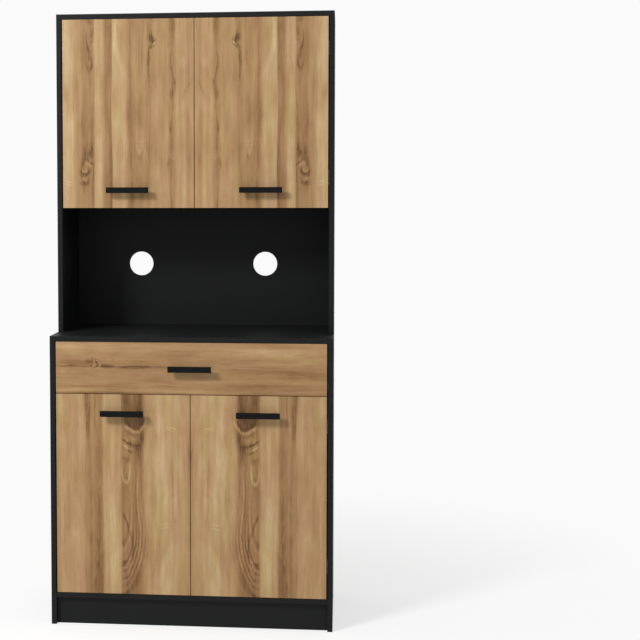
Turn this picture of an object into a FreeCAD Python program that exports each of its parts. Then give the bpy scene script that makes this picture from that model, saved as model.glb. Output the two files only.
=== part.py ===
import FreeCAD, Part
import Sketcher
import math
import os
import re

# Kitchen storage cabinet: a base with two doors and a drawer, a worktop, and a
# shallower upper cupboard over an open niche. Millimetres, +X to the right,
# +Y to the back, +Z up. The origin is on the floor, under the middle of the
# whole outline, handles included.

# Driving sizes
SIZES = {
    # whole cabinet
    "width": 825,
    "height": 1800,
    "worktop_height": 853,
    "base_depth": 400,
    "hutch_depth": 270,
    "niche_height": 374,
    # boards
    "board": 15,
    "board_round": 0.6,
    "back_thick": 3,
    "back_inset": 2,
    "plinth_high": 80,
    "plinth_set": 15,
    "rail_deep": 70,
    "rail_drop": 9,
    "shelf_set": 40,
    "shelf_slack": 1,
    "base_shelf_height": 372,
    "hutch_shelf_height": 1502,
    "inner_set": 21,
    # doors and drawer front, set in between the sides
    "door_thick": 15,
    "side_gap": 3,
    "middle_gap": 2,
    "edge_gap": 1,
    "door_drop": 2,
    "front_gap": 2,
    "drawer_front_high": 150.5,
    # handles
    "handle_long": 126,
    "handle_high": 17,
    "handle_reach": 30,
    "handle_bar": 10,
    "handle_round": 1.5,
    "post_apart": 96,
    "post_radius": 5.5,
    "upper_handle_rise": 53,
    "base_handle_drop": 54,
    # cable holes in the back of the niche
    "cable_radius": 37.5,
    "cable_side": 196,
    "cable_rise": 193,
    # hinges: a cup in the door, an arm on the side
    "hinge_inset": 90,
    "axis_inset": 8.5,
    "axis_depth": 6.5,
    "cup_inset": 21.5,
    "cup_radius": 17.4,
    "cup_wall": 0.7,
    "cup_depth": 12.4,
    "flange_radius": 18.5,
    "flange_thick": 1,
    "flange_near": 3.5,
    "flange_wide": 12,
    "flange_high": 58,
    "cup_screw_in": 9.5,
    "cup_screw_apart": 45,
    "hinge_pin_radius": 1.4,
    "pin_slack": 0.05,
    "eye_radius": 2.8,
    "arm_wide": 8,
    "arm_thick": 2,
    "arm_rise_inset": 20,
    "arm_back": 20,
    "arm_end": 60,
    "plate_thick": 2,
    "plate_start": 24,
    "plate_end": 64,
    "plate_high": 44,
    "plate_line": 37,
    "plate_screw_apart": 32,
    # drawer box
    "drawer_lift": 14,
    "drawer_side_high": 100,
    "drawer_side_thick": 12,
    "drawer_deep": 350,
    "drawer_bottom_thick": 3,
    "groove_rise": 10,
    "groove_deep": 6,
    "groove_slack": 0.1,
    "drawer_dowel_radius": 3,
    # roller runners
    "runner_space": 12.5,
    "runner_long": 350,
    "runner_set": 18,
    "runner_sheet": 1.2,
    "channel_high": 18,
    "channel_wide": 10.5,
    "channel_lift": 2.2,
    "channel_front_cut": 26,
    "drawer_member_set": 2,
    "top_flange_gap": 0.6,
    "top_flange_start": 2.5,
    "under_flange_wide": 11,
    "front_roller_radius": 9.3,
    "rear_roller_radius": 7.5,
    "roller_start": 3,
    "roller_wide": 7,
    "roller_inset": 14,
    "axle_radius": 1.5,
    "axle_head_radius": 2.5,
    "axle_head_high": 0.5,
    "axle_end_slack": 0.2,
    # wall bracket inside the top of the upper cupboard
    "bracket_wide": 40,
    "bracket_thick": 2,
    "bracket_leg": 40,
    "bracket_screw_side": 12,
    "bracket_screw_set": 22,
    "wall_hole_radius": 2.75,
    "wall_hole_drop": 26,
    "wall_hole_play": 1.5,
    # cams, bolts, dowels, pins, nails and screws
    "fit_gap": 0.1,
    "overrun": 1,
    "cam_inset": 24,
    "cam_radius": 7.4,
    "cam_depth": 12,
    "cam_edge": 50,
    "bolt_radius": 3.4,
    "bolt_depth": 10,
    "dowel_radius": 4,
    "dowel_half": 12,
    "hutch_dowel_front": 35,
    "hutch_dowel_back": 90,
    "plinth_dowel_side": 250,
    "shelf_pin_radius": 2.5,
    "shelf_pin_depth": 8,
    "shelf_pin_out": 7,
    "shelf_pin_edge": 40,
    "nail_radius": 0.8,
    "nail_head_radius": 2,
    "nail_head_high": 0.6,
    "nail_long": 18,
    "nail_seam": 3.5,
    "nail_edge": 60,
    "handle_screw_radius": 2,
    "handle_screw_bite": 10,
    "pan_head_radius": 4,
    "pan_head_high": 2,
    "wood_screw_radius": 1.8,
    "wood_screw_long": 11.5,
    "wood_head_radius": 3.4,
    "wood_head_high": 1.6,
    "runner_screw_front": 42,
    "runner_screw_back": 290,
    "runner_head_high": 0.8,
    "back_screw_edge": 22,
    "back_screw_long": 30,
}

doc = FreeCAD.newDocument("kitchen_cabinet")
sheet = doc.addObject("Spreadsheet::Sheet", "sizes")
for row, (alias, value) in enumerate(SIZES.items(), start=1):
    sheet.set(f"A{row}", alias)
    sheet.set(f"B{row}", str(value))
    sheet.setAlias(f"B{row}", alias)
doc.recompute()

# Planes that many pieces share, as formulas of the sizes
LEFT = "(-width / 2)"
FRONT = "((handle_reach - base_depth) / 2)"
BACK = "((handle_reach + base_depth) / 2)"
HUTCH_FRONT = f"({BACK} - hutch_depth)"
FRAME_BACK = f"({BACK} - back_thick)"
INNER_LEFT = f"({LEFT} + board)"
INNER_WIDE = "(width - 2 * board)"
UNDER_WORKTOP = "(worktop_height - board)"
HUTCH_FLOOR = "(worktop_height + niche_height)"
UNDER_TOP = "(height - board)"
DOOR_LEFT = f"({INNER_LEFT} + side_gap)"
DOOR_WIDE = f"(({INNER_WIDE} - middle_gap) / 2 - side_gap)"
DRAWER_BOTTOM = f"({UNDER_WORKTOP} - edge_gap - drawer_front_high)"
BASE_DOOR_BOTTOM = "(plinth_high + board + edge_gap)"
BASE_DOOR_HIGH = f"({DRAWER_BOTTOM} - front_gap - {BASE_DOOR_BOTTOM})"
UPPER_DOOR_BOTTOM = f"({HUTCH_FLOOR} - door_drop)"
UPPER_DOOR_HIGH = f"({UNDER_TOP} - edge_gap - {UPPER_DOOR_BOTTOM})"

nodes = []
X_AXIS = FreeCAD.Vector(1, 0, 0)
TURNS = {
    "x": FreeCAD.Rotation(FreeCAD.Vector(0, 1, 0), 90),
    "y": FreeCAD.Rotation(FreeCAD.Vector(-1, 0, 0), 90),
    "z": FreeCAD.Rotation(),
}


def bind(item, prop, formula):
    """Tie one property to the sheet; the formula names sizes by their aliases."""
    words = re.compile(r"[a-z_]+")
    linked = words.sub(lambda word: "sizes." + word[0] if word[0] in SIZES else word[0], formula)
    item.setExpression(prop, linked)


def place(item, x, y, z):
    """Tie the position of an object to three formulas."""
    for letter, formula in zip("xyz", (x, y, z)):
        bind(item, f"Placement.Base.{letter}", formula)


def keep(item, label):
    """Name an object as a sub-part that is written to its own file."""
    item.Label = label
    nodes.append(item)
    return item


def block(name, corner, wide, deep, high):
    """A box from its lowest corner."""
    item = doc.addObject("Part::Box", name)
    bind(item, "Length", wide)
    bind(item, "Width", deep)
    bind(item, "Height", high)
    place(item, *corner)
    return item


def rod(name, start, along, radius, long):
    """A cylinder that starts at a point and runs along +x, +y or +z."""
    item = doc.addObject("Part::Cylinder", name)
    item.Placement = FreeCAD.Placement(FreeCAD.Vector(), TURNS[along])
    bind(item, "Radius", radius)
    bind(item, "Height", long)
    place(item, *start)
    return item


def fuse(name, items):
    item = doc.addObject("Part::MultiFuse", name)
    item.Shapes = items
    return item


def cut(name, base, tool):
    item = doc.addObject("Part::Cut", name)
    item.Base = base
    item.Tool = tool
    return item


def group(name, items):
    item = doc.addObject("Part::Compound", name)
    item.Links = items
    return item


def mirror(name, source):
    """The same piece on the other side of the cabinet's middle plane."""
    item = doc.addObject("Part::Mirroring", name)
    item.Source = source
    item.Normal = X_AXIS
    return item


def moved(point, along, formula):
    """A point shifted along one axis by a formula."""
    spots = list(point)
    number = "xyz".index(along)
    spots[number] = f"{spots[number]} + ({formula})"
    return tuple(spots)


def stepped_rod(name, seat, along, onward, head, shank, slack="0"):
    """A head on one side of the seat and a shank on the other; onward is the shank's side."""
    head_radius, head_high = head
    shank_radius, shank_long = shank
    if onward:
        head_start = moved(seat, along, f"-{head_high}")
        shank_start = seat
    else:
        head_start = seat
        shank_start = moved(seat, along, f"-({shank_long}) - {slack}")
    parts = [
        rod(f"{name}_head", head_start, along, f"{head_radius} + {slack}", head_high),
        rod(f"{name}_shank", shank_start, along, f"{shank_radius} + {slack}", f"{shank_long} + {slack}"),
    ]
    return fuse(name, parts)


# Flat boards drawn as a sketch and padded

def new_body(name, x, y, z):
    body = doc.addObject("PartDesign::Body", name)
    place(body, x, y, z)
    return body


def new_sketch(body, name, role, offset="0"):
    """A sketch on one of the body's own planes, moved along that plane's normal."""
    sketch = body.newObject("Sketcher::SketchObject", name)
    plane = next(item for item in body.Origin.OriginFeatures if item.Role == role)
    sketch.AttachmentSupport = [(plane, "")]
    sketch.MapMode = "FlatFace"
    bind(sketch, "AttachmentOffset.Base.z", offset)
    return sketch


def set_distance(sketch, kind, first, second, formula):
    """A horizontal or vertical distance between two points of the sketch."""
    number = sketch.addConstraint(Sketcher.Constraint(kind, *first, *second, 1.0))
    bind(sketch, f"Constraints[{number}]", formula)


def add_outline(sketch, corners):
    """A closed outline of straight edges; each corner is tied to the origin."""
    unit = len(corners)
    for number in range(unit):
        turn = 2 * math.pi * number / unit
        onward = 2 * math.pi * (number + 1) / unit
        start = FreeCAD.Vector(math.cos(turn), math.sin(turn), 0)
        end = FreeCAD.Vector(math.cos(onward), math.sin(onward), 0)
        sketch.addGeometry(Part.LineSegment(start, end))
    for number in range(unit):
        following = (number + 1) % unit
        sketch.addConstraint(Sketcher.Constraint("Coincident", number, 2, following, 1))
    for number, (across, up) in enumerate(corners):
        set_distance(sketch, "DistanceX", (-1, 1), (number, 1), across)
        set_distance(sketch, "DistanceY", (-1, 1), (number, 1), up)


def add_circles(sketch, spots, radius):
    """Round holes at the given places, all of one radius."""
    for number, (across, up) in enumerate(spots):
        centre = FreeCAD.Vector(number + 1, number + 1, 0)
        sketch.addGeometry(Part.Circle(centre, FreeCAD.Vector(0, 0, 1), 1))
        size = sketch.addConstraint(Sketcher.Constraint("Radius", number, 1.0))
        bind(sketch, f"Constraints[{size}]", radius)
        set_distance(sketch, "DistanceX", (-1, 1), (number, 3), across)
        set_distance(sketch, "DistanceY", (-1, 1), (number, 3), up)


def pad(body, sketch, long, backward=False):
    item = body.newObject("PartDesign::Pad", f"{sketch.Name}_pad")
    item.Profile = sketch
    item.Reversed = backward
    bind(item, "Length", long)
    doc.recompute()
    return item


def round_edges(body, base, radius):
    """Break every edge of a padded piece by the same small radius."""
    item = body.newObject("PartDesign::Fillet", f"{base.Name}_rounding")
    item.Base = (base, [])
    item.UseAllEdges = True
    bind(item, "Radius", radius)
    doc.recompute()


def slab(name, corner, wide, deep, high):
    """A faced board with its edges broken, from its lowest corner."""
    body = new_body(name, *corner)
    outline = new_sketch(body, f"{name}_outline", "XY_Plane")
    add_outline(outline, [("0", "0"), (wide, "0"), (wide, deep), ("0", deep)])
    round_edges(body, pad(body, outline, high), "board_round")
    return body


def pocket(body, sketch, deep, backward=False):
    """Cut a sketch into the body, and check that it takes material away."""
    before = body.Shape.Volume
    item = body.newObject("PartDesign::Pocket", f"{sketch.Name}_pocket")
    item.Profile = sketch
    item.Reversed = backward
    bind(item, "Length", deep)
    doc.recompute()
    if body.Shape.Volume >= before:
        raise RuntimeError(f"{item.Name} cuts nothing")
    return item


# Fasteners of the frame, left half, each with the hole that takes it

cams = []
bolts = []
dowels = []
shelf_pins = []
nails = []
holes = []
middle_dowels = []
middle_nails = []
middle_holes = []
BOLT_LONG = "bolt_depth + cam_inset - cam_radius - fit_gap"


def add_pair(solids, hole_list, name, start, along, radius, long):
    """A plain pin and its hole, which is larger by the fit gap all round."""
    solids.append(rod(name, start, along, radius, long))
    wider = moved(start, along, "-fit_gap")
    hole_list.append(rod(f"{name}_hole", wider, along, f"{radius} + fit_gap", f"{long} + 2 * fit_gap"))


def level_cam(name, y, under):
    """A cam in the underside of a level board, its bolt in the side's inner face."""
    cam_spot = (f"{INNER_LEFT} + cam_inset", y, under)
    cams.append(rod(f"{name}_cam", cam_spot, "z", "cam_radius", "cam_depth"))
    bolt_spot = (f"{INNER_LEFT} - bolt_depth", y, f"{under} + board / 2")
    bolts.append(rod(f"{name}_bolt", bolt_spot, "x", "bolt_radius", BOLT_LONG))
    cam_bore = rod(f"{name}_bore", moved(cam_spot, "z", "-overrun"), "z",
                   "cam_radius + fit_gap", "cam_depth + overrun + fit_gap")
    bolt_bore = rod(f"{name}_bolt_bore", moved(bolt_spot, "x", "-fit_gap"), "x",
                    "bolt_radius + fit_gap", "bolt_depth + cam_inset")
    holes.append(fuse(f"{name}_holes", [cam_bore, bolt_bore]))


def upright_cam(name, y, top):
    """A cam in the side's inner face, its bolt up in the board that lies on the side."""
    cam_spot = (f"{INNER_LEFT} - cam_depth", y, f"{top} - cam_inset")
    cams.append(rod(f"{name}_cam", cam_spot, "x", "cam_radius", "cam_depth"))
    bolt_spot = (f"{LEFT} + board / 2", y, f"{top} - cam_inset + cam_radius + fit_gap")
    bolts.append(rod(f"{name}_bolt", bolt_spot, "z", "bolt_radius", BOLT_LONG))
    cam_bore = rod(f"{name}_bore", moved(cam_spot, "x", "-fit_gap"), "x",
                   "cam_radius + fit_gap", "cam_depth + overrun + fit_gap")
    bolt_bore = rod(f"{name}_bolt_bore", moved(bolt_spot, "z", "-cam_radius"), "z",
                    "bolt_radius + fit_gap", f"{BOLT_LONG} + cam_radius + fit_gap")
    holes.append(fuse(f"{name}_holes", [cam_bore, bolt_bore]))


def level_dowel(name, y, z):
    start = (f"{INNER_LEFT} - dowel_half", y, z)
    add_pair(dowels, holes, name, start, "x", "dowel_radius", "2 * dowel_half")


def upright_dowel(name, y, seam):
    start = (f"{LEFT} + board / 2", y, f"{seam} - dowel_half")
    add_pair(dowels, holes, name, start, "z", "dowel_radius", "2 * dowel_half")


# Level boards between the sides: front and back of each, and its underside
RAIL_FRONT = f"({FRONT} + inner_set)"
CUPBOARD_FRONT = f"({HUTCH_FRONT} + inner_set)"
RAIL_UNDER = f"({DRAWER_BOTTOM} - rail_drop)"
LEVEL_JOINTS = {
    "base_bottom": (FRONT, FRAME_BACK, "plinth_high"),
    "hutch_bottom": (CUPBOARD_FRONT, FRAME_BACK, HUTCH_FLOOR),
}
for board_name, (near, far, under) in LEVEL_JOINTS.items():
    level_cam(f"{board_name}_front", f"{near} + cam_edge", under)
    level_cam(f"{board_name}_back", f"{far} - cam_edge", under)
    level_dowel(f"{board_name}_dowel", f"({near} + {far}) / 2", f"{under} + board / 2")
level_cam("rail", f"{RAIL_FRONT} + rail_deep / 2", RAIL_UNDER)

# Boards that lie on the sides: front of the sides, and the seam's height
UPRIGHT_JOINTS = {
    "worktop": (FRONT, UNDER_WORKTOP),
    "hutch_top": (HUTCH_FRONT, UNDER_TOP),
}
for board_name, (near, seam) in UPRIGHT_JOINTS.items():
    upright_cam(f"{board_name}_front", f"{near} + cam_edge", seam)
    upright_cam(f"{board_name}_back", f"{FRAME_BACK} - cam_edge", seam)
    upright_dowel(f"{board_name}_dowel", f"({near} + {FRAME_BACK}) / 2", seam)
upright_dowel("hutch_front_dowel", f"{HUTCH_FRONT} + hutch_dowel_front", "worktop_height")
upright_dowel("hutch_back_dowel", f"{FRAME_BACK} - hutch_dowel_back", "worktop_height")

# Plinth: one dowel into each side and three up into the bottom board
PLINTH_MIDDLE = f"({FRONT} + plinth_set + board / 2)"
level_dowel("plinth_end_dowel", PLINTH_MIDDLE, "plinth_high / 2")
PLINTH_DOWEL_LOW = "plinth_high - dowel_half"
add_pair(dowels, holes, "plinth_side_dowel", ("-plinth_dowel_side", PLINTH_MIDDLE, PLINTH_DOWEL_LOW),
         "z", "dowel_radius", "2 * dowel_half")
add_pair(middle_dowels, middle_holes, "plinth_middle_dowel", ("0", PLINTH_MIDDLE, PLINTH_DOWEL_LOW),
         "z", "dowel_radius", "2 * dowel_half")

# Shelf pins: front and back pin of each shelf
SHELF_BACK = f"({FRAME_BACK} - shelf_slack)"
SHELVES = {
    "base_shelf": (f"({FRONT} + shelf_set)", "base_shelf_height"),
    "hutch_shelf": (f"({HUTCH_FRONT} + shelf_set)", "hutch_shelf_height"),
}
for shelf_name, (near, under) in SHELVES.items():
    for place_name, y in (("front", f"{near} + shelf_pin_edge"), ("back", f"{SHELF_BACK} - shelf_pin_edge")):
        start = (f"{INNER_LEFT} - shelf_pin_depth", y, f"{under} - shelf_pin_radius")
        add_pair(shelf_pins, holes, f"{shelf_name}_{place_name}_pin", start, "x",
                 "shelf_pin_radius", "shelf_pin_depth + shelf_pin_out")

# Nails through the back panels into the boards' rear edges
NAIL_SIZES = (("nail_head_radius", "nail_head_high"), ("nail_radius", "nail_long - nail_head_high"))
BACK_SEAM = "(worktop_height - board / 2)"


def nail(solids, hole_list, name, x, z):
    """A flat-headed nail let in flush with the back panel's outer face."""
    seat = (x, f"{BACK} - nail_head_high", z)
    solids.append(stepped_rod(name, seat, "y", False, *NAIL_SIZES))
    hole_list.append(stepped_rod(f"{name}_hole", seat, "y", False, *NAIL_SIZES, slack="fit_gap"))


SIDE_NAIL_ROWS = {"base": ("plinth_high", BACK_SEAM), "hutch": ("worktop_height", "height")}
NAIL_COUNTS = {"base": 5, "hutch": 6}
for panel, (low, high) in SIDE_NAIL_ROWS.items():
    count = NAIL_COUNTS[panel]
    for number in range(count):
        share = number / (count - 1)
        z = f"{low} + nail_edge + {share} * ({high} - {low} - 2 * nail_edge)"
        nail(nails, holes, f"{panel}_nail_{number}", f"{LEFT} + board / 2", z)
ROW_NAILS = {
    "bottom_nail": "plinth_high + board / 2",
    "under_seam_nail": f"{BACK_SEAM} - nail_seam",
    "over_seam_nail": f"{BACK_SEAM} + nail_seam",
    "cupboard_nail": f"{HUTCH_FLOOR} + board / 2",
    "top_nail": f"{UNDER_TOP} + board / 2",
}
ROW_SHARES = (0.12, 0.37)
for row_name, z in ROW_NAILS.items():
    for number, share in enumerate(ROW_SHARES):
        nail(nails, holes, f"{row_name}_{number}", f"{LEFT} + {share} * width", z)

# Hinges, left half: a plate on the side, an arm with an eye, and a cup in the door

hinge_plates = []
hinge_arms = []
plate_screws = []
HINGE_PIN_LONG = "2 * sqrt(cup_radius^2 - (cup_inset - axis_inset + hinge_pin_radius)^2)"
PLATE_SCREW = (("wood_head_radius", "wood_head_high"), ("wood_screw_radius", "wood_screw_long"))


def hinge_fixed_side(name, face, z):
    """Plate, arm and plate screws of one hinge at height z; face is the door's front plane."""
    plate = block(f"{name}_plate_blank", (INNER_LEFT, f"{face} + plate_start", f"{z} - plate_high / 2"),
                  "plate_thick", "plate_end - plate_start", "plate_high")
    screw_holes = []
    for level, sign in (("low", "-"), ("high", "+")):
        seat = (f"{INNER_LEFT} + plate_thick", f"{face} + plate_line", f"{z} {sign} plate_screw_apart / 2")
        plate_screws.append(stepped_rod(f"{name}_{level}_screw", seat, "x", False, *PLATE_SCREW))
        hole = rod(f"{name}_{level}_hole", moved(seat, "x", "-wood_screw_long - fit_gap"), "x",
                   "wood_screw_radius + fit_gap", "wood_screw_long + overrun + fit_gap")
        screw_holes.append(hole)
    holes.extend(screw_holes)
    hinge_plates.append(cut(f"{name}_plate", plate, group(f"{name}_plate_holes", screw_holes)))
    low = f"{z} - arm_wide / 2"
    axis_x = f"{DOOR_LEFT} + axis_inset"
    axis_y = f"{face} + axis_depth"
    rise_x = f"{DOOR_LEFT} + arm_rise_inset"
    foot_x = f"{INNER_LEFT} + plate_thick"
    run_y = f"{axis_y} - arm_thick / 2"
    solids = [
        rod(f"{name}_eye", (axis_x, axis_y, low), "z", "eye_radius", "arm_wide"),
        block(f"{name}_run", (axis_x, run_y, low), "arm_rise_inset - axis_inset + arm_thick",
              "arm_thick", "arm_wide"),
        block(f"{name}_rise", (rise_x, run_y, low), "arm_thick",
              "arm_back + arm_thick - (axis_depth - arm_thick / 2)", "arm_wide"),
        block(f"{name}_cross", (foot_x, f"{face} + arm_back", low),
              "side_gap + arm_rise_inset + arm_thick - plate_thick", "arm_thick", "arm_wide"),
        block(f"{name}_foot", (foot_x, f"{face} + arm_back", low), "arm_thick",
              "arm_end - arm_back", "arm_wide"),
    ]
    bore = rod(f"{name}_eye_bore", (axis_x, axis_y, f"{low} - overrun"), "z",
               "hinge_pin_radius + pin_slack", "arm_wide + 2 * overrun")
    hinge_arms.append(cut(f"{name}_arm", fuse(f"{name}_arm_blank", solids), bore))


def hinge_cup(name, face, z):
    """A cup with its flange and the pin across it, all one piece that turns with the door."""
    back = f"{face} + door_thick"
    middle = f"{DOOR_LEFT} + cup_inset"
    body = rod(f"{name}_body", (middle, f"{back} - cup_depth", z), "y", "cup_radius", "cup_depth")
    disc = rod(f"{name}_disc", (middle, back, z), "y", "flange_radius", "flange_thick")
    wing = block(f"{name}_wing", (f"{middle} + flange_near", back, f"{z} - flange_high / 2"),
                 "flange_wide", "flange_thick", "flange_high")
    hollow = rod(f"{name}_hollow", (middle, f"{back} - cup_depth + cup_wall", z), "y",
                 "cup_radius - cup_wall", "cup_depth - cup_wall + flange_thick + overrun")
    tools = [hollow]
    for level, sign in (("low", "-"), ("high", "+")):
        spot = (f"{middle} + cup_screw_in", f"{back} - overrun", f"{z} {sign} cup_screw_apart / 2")
        tools.append(rod(f"{name}_{level}_hole", spot, "y", "wood_screw_radius + fit_gap",
                         "flange_thick + 2 * overrun"))
    shell = cut(f"{name}_shell", fuse(f"{name}_solid", [body, disc, wing]), group(f"{name}_tools", tools))
    pin_spot = (f"{DOOR_LEFT} + axis_inset", f"{face} + axis_depth", f"{z} - {HINGE_PIN_LONG} / 2")
    pin = rod(f"{name}_pin", pin_spot, "z", "hinge_pin_radius", HINGE_PIN_LONG)
    return fuse(name, [shell, pin])


def cup_screw(name, face, z, sign):
    seat = (f"{DOOR_LEFT} + cup_inset + cup_screw_in", f"{face} + door_thick + flange_thick",
            f"{z} {sign} cup_screw_apart / 2")
    return stepped_rod(name, seat, "y", False, *PLATE_SCREW)


# Handles: a flat bar on two round posts, screwed on from inside

HANDLE_SCREW = (
    ("pan_head_radius", "pan_head_high"),
    ("handle_screw_radius", "door_thick + handle_screw_bite"),
)


def handle(name, middle_x, face, middle_z):
    """The bar with its edges rounded, then the posts from inside the bar to the door."""
    body = new_body(name, f"{middle_x} - handle_long / 2", f"{face} - handle_reach",
                    f"{middle_z} - handle_high / 2")
    outline = new_sketch(body, f"{name}_outline", "XY_Plane")
    add_outline(outline, [("0", "0"), ("handle_long", "0"), ("handle_long", "handle_bar"), ("0", "handle_bar")])
    round_edges(body, pad(body, outline, "handle_high"), "handle_round")
    spots = [(f"handle_long / 2 {sign} post_apart / 2", "handle_high / 2") for sign in "-+"]
    posts = new_sketch(body, f"{name}_posts", "XZ_Plane", "-handle_bar / 2")
    add_circles(posts, spots, "post_radius")
    pad(body, posts, "handle_reach - handle_bar / 2", True)
    bores = new_sketch(body, f"{name}_bores", "XZ_Plane", "-handle_reach")
    add_circles(bores, spots, "handle_screw_radius + fit_gap")
    pocket(body, bores, "handle_screw_bite + fit_gap", True)
    return body


def handle_screws(name, middle_x, face, middle_z):
    """Two machine screws from the back of the front panel into the handle's posts."""
    screws = []
    for side, sign in (("left", "-"), ("right", "+")):
        seat = (f"{middle_x} {sign} post_apart / 2", f"{face} + door_thick", middle_z)
        screws.append(stepped_rod(f"{name}_{side}", seat, "y", False, *HANDLE_SCREW))
    return screws


def front_panel(name, x, face, z, wide, high, handle_spot, cup_heights):
    """A door or drawer front: a padded board, drilled for handle screws and hinge cups."""
    body = new_body(name, x, face, z)
    outline = new_sketch(body, f"{name}_outline", "XZ_Plane")
    add_outline(outline, [("0", "0"), (wide, "0"), (wide, high), ("0", high)])
    round_edges(body, pad(body, outline, "door_thick", True), "board_round")
    across, up = handle_spot
    reach = "post_apart / 2"
    screw_sketch = new_sketch(body, f"{name}_screw_bores", "XZ_Plane")
    add_circles(screw_sketch, [(f"{across} - {reach}", up), (f"{across} + {reach}", up)],
                "handle_screw_radius + fit_gap")
    pocket(body, screw_sketch, "door_thick")
    if cup_heights:
        cup_sketch = new_sketch(body, f"{name}_cup_bores", "XZ_Plane", "-door_thick")
        add_circles(cup_sketch, [("cup_inset", up) for up in cup_heights], "cup_radius + fit_gap")
        pocket(body, cup_sketch, "cup_depth + fit_gap", True)
        pilot_sketch = new_sketch(body, f"{name}_pilot_bores", "XZ_Plane", "-door_thick")
        pilots = [("cup_inset + cup_screw_in", f"{up} {sign} cup_screw_apart / 2")
                  for up in cup_heights for sign in "-+"]
        add_circles(pilot_sketch, pilots, "wood_screw_radius + fit_gap")
        pocket(body, pilot_sketch, "wood_screw_long - flange_thick + fit_gap", True)
    return body


def door_set(level, face, bottom, high, handle_up):
    """Left door with everything that turns with it, and its mirror image on the right."""
    middle = f"({DOOR_LEFT} + {DOOR_WIDE} / 2)"
    cup_heights = ["hinge_inset", f"{high} - hinge_inset"]
    left = {
        "door": front_panel(f"{level}_door_left", DOOR_LEFT, face, bottom, DOOR_WIDE, high,
                            (f"{DOOR_WIDE} / 2", handle_up), cup_heights),
        "handle": handle(f"{level}_handle_left", middle, face, f"{bottom} + {handle_up}"),
    }
    cups = []
    screws = handle_screws(f"{level}_handle_screw", middle, face, f"{bottom} + {handle_up}")
    for spot, up in zip(("low", "high"), cup_heights):
        z = f"({bottom} + {up})"
        hinge_fixed_side(f"{level}_{spot}_hinge", face, z)
        cups.append(hinge_cup(f"{level}_{spot}_cup", face, z))
        screws += [cup_screw(f"{level}_{spot}_cup_screw_{end}", face, z, sign)
                   for end, sign in (("below", "-"), ("above", "+"))]
    left["hinge_cups"] = group(f"{level}_hinge_cups_left", cups)
    left["door_screws"] = group(f"{level}_door_screws_left", screws)
    for piece, item in left.items():
        keep(item, f"{level}_{piece}_left")
        keep(mirror(f"{level}_{piece}_right", item), f"{level}_{piece}_right")


door_set("upper", HUTCH_FRONT, UPPER_DOOR_BOTTOM, UPPER_DOOR_HIGH, "upper_handle_rise")
door_set("base", FRONT, BASE_DOOR_BOTTOM, BASE_DOOR_HIGH, f"({BASE_DOOR_HIGH} - base_handle_drop)")

# Drawer runners, left: a channel on the side and a Z-shaped member on the drawer

BOX_LEFT = f"({INNER_LEFT} + runner_space)"
BOX_FRONT = f"({FRONT} + door_thick)"
BOX_BOTTOM = f"({DRAWER_BOTTOM} + drawer_lift)"
CHANNEL_FRONT = f"({FRONT} + runner_set)"
CHANNEL_LOW = f"({BOX_BOTTOM} + channel_lift)"
CHANNEL_TOP = f"({CHANNEL_LOW} + channel_high)"
AXLE_HEIGHT = f"({CHANNEL_LOW} + channel_high / 2)"
runner_screw_bores = []
cabinet_runner_screws = []
RUNNER_SCREW = (("wood_head_radius", "runner_head_high"), ("wood_screw_radius", "wood_screw_long"))


def axle(name, x, y, onward):
    """A riveted axle from a runner's web, with a flat head that keeps the roller on."""
    long = "roller_wide + roller_start - runner_sheet + axle_end_slack"
    if onward:
        shaft = rod(f"{name}_shaft", (x, y, AXLE_HEIGHT), "x", "axle_radius", long)
        cap = rod(f"{name}_cap", (f"{x} + {long}", y, AXLE_HEIGHT), "x", "axle_head_radius", "axle_head_high")
        return [shaft, cap]
    reach = "runner_space - runner_sheet - roller_start + axle_end_slack"
    shaft = rod(f"{name}_shaft", (f"{x} - ({reach})", y, AXLE_HEIGHT), "x", "axle_radius", reach)
    cap = rod(f"{name}_cap", (f"{x} - ({reach}) - axle_head_high", y, AXLE_HEIGHT), "x",
              "axle_head_radius", "axle_head_high")
    return [shaft, cap]


def channel_runner():
    """The cabinet's member: web, two flanges cut back in front, and the front roller's axle."""
    lip_front = f"{CHANNEL_FRONT} + channel_front_cut"
    lip_long = "runner_long - channel_front_cut"
    web = block("channel_web", (INNER_LEFT, CHANNEL_FRONT, CHANNEL_LOW),
                "runner_sheet", "runner_long", "channel_high")
    low_lip = block("channel_low_lip", (INNER_LEFT, lip_front, CHANNEL_LOW),
                    "channel_wide", lip_long, "runner_sheet")
    high_lip = block("channel_high_lip", (INNER_LEFT, lip_front, f"{CHANNEL_TOP} - runner_sheet"),
                     "channel_wide", lip_long, "runner_sheet")
    pivot = axle("channel_axle", f"{INNER_LEFT} + runner_sheet", f"{CHANNEL_FRONT} + roller_inset", True)
    for end, along in (("front", "runner_screw_front"), ("back", "runner_screw_back")):
        seat = (f"{INNER_LEFT} + runner_sheet", f"{CHANNEL_FRONT} + {along}", AXLE_HEIGHT)
        screw = stepped_rod(f"channel_{end}_screw", seat, "x", False, *RUNNER_SCREW)
        cabinet_runner_screws.append(screw)
        hole = rod(f"channel_{end}_hole", moved(seat, "x", "-wood_screw_long - fit_gap"), "x",
                   "wood_screw_radius + fit_gap", "wood_screw_long + overrun")
        runner_screw_bores.append(hole)
    holes.extend(runner_screw_bores)
    blank = fuse("channel_blank", [web, low_lip, high_lip] + pivot)
    return cut("cabinet_runner_left", blank, group("channel_holes", runner_screw_bores))


drawer_runner_screws = []
drawer_side_holes = []
MEMBER_SCREW = (
    ("wood_head_radius", "wood_head_high"),
    ("wood_screw_radius", "groove_rise - groove_slack - overrun"),
)


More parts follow.
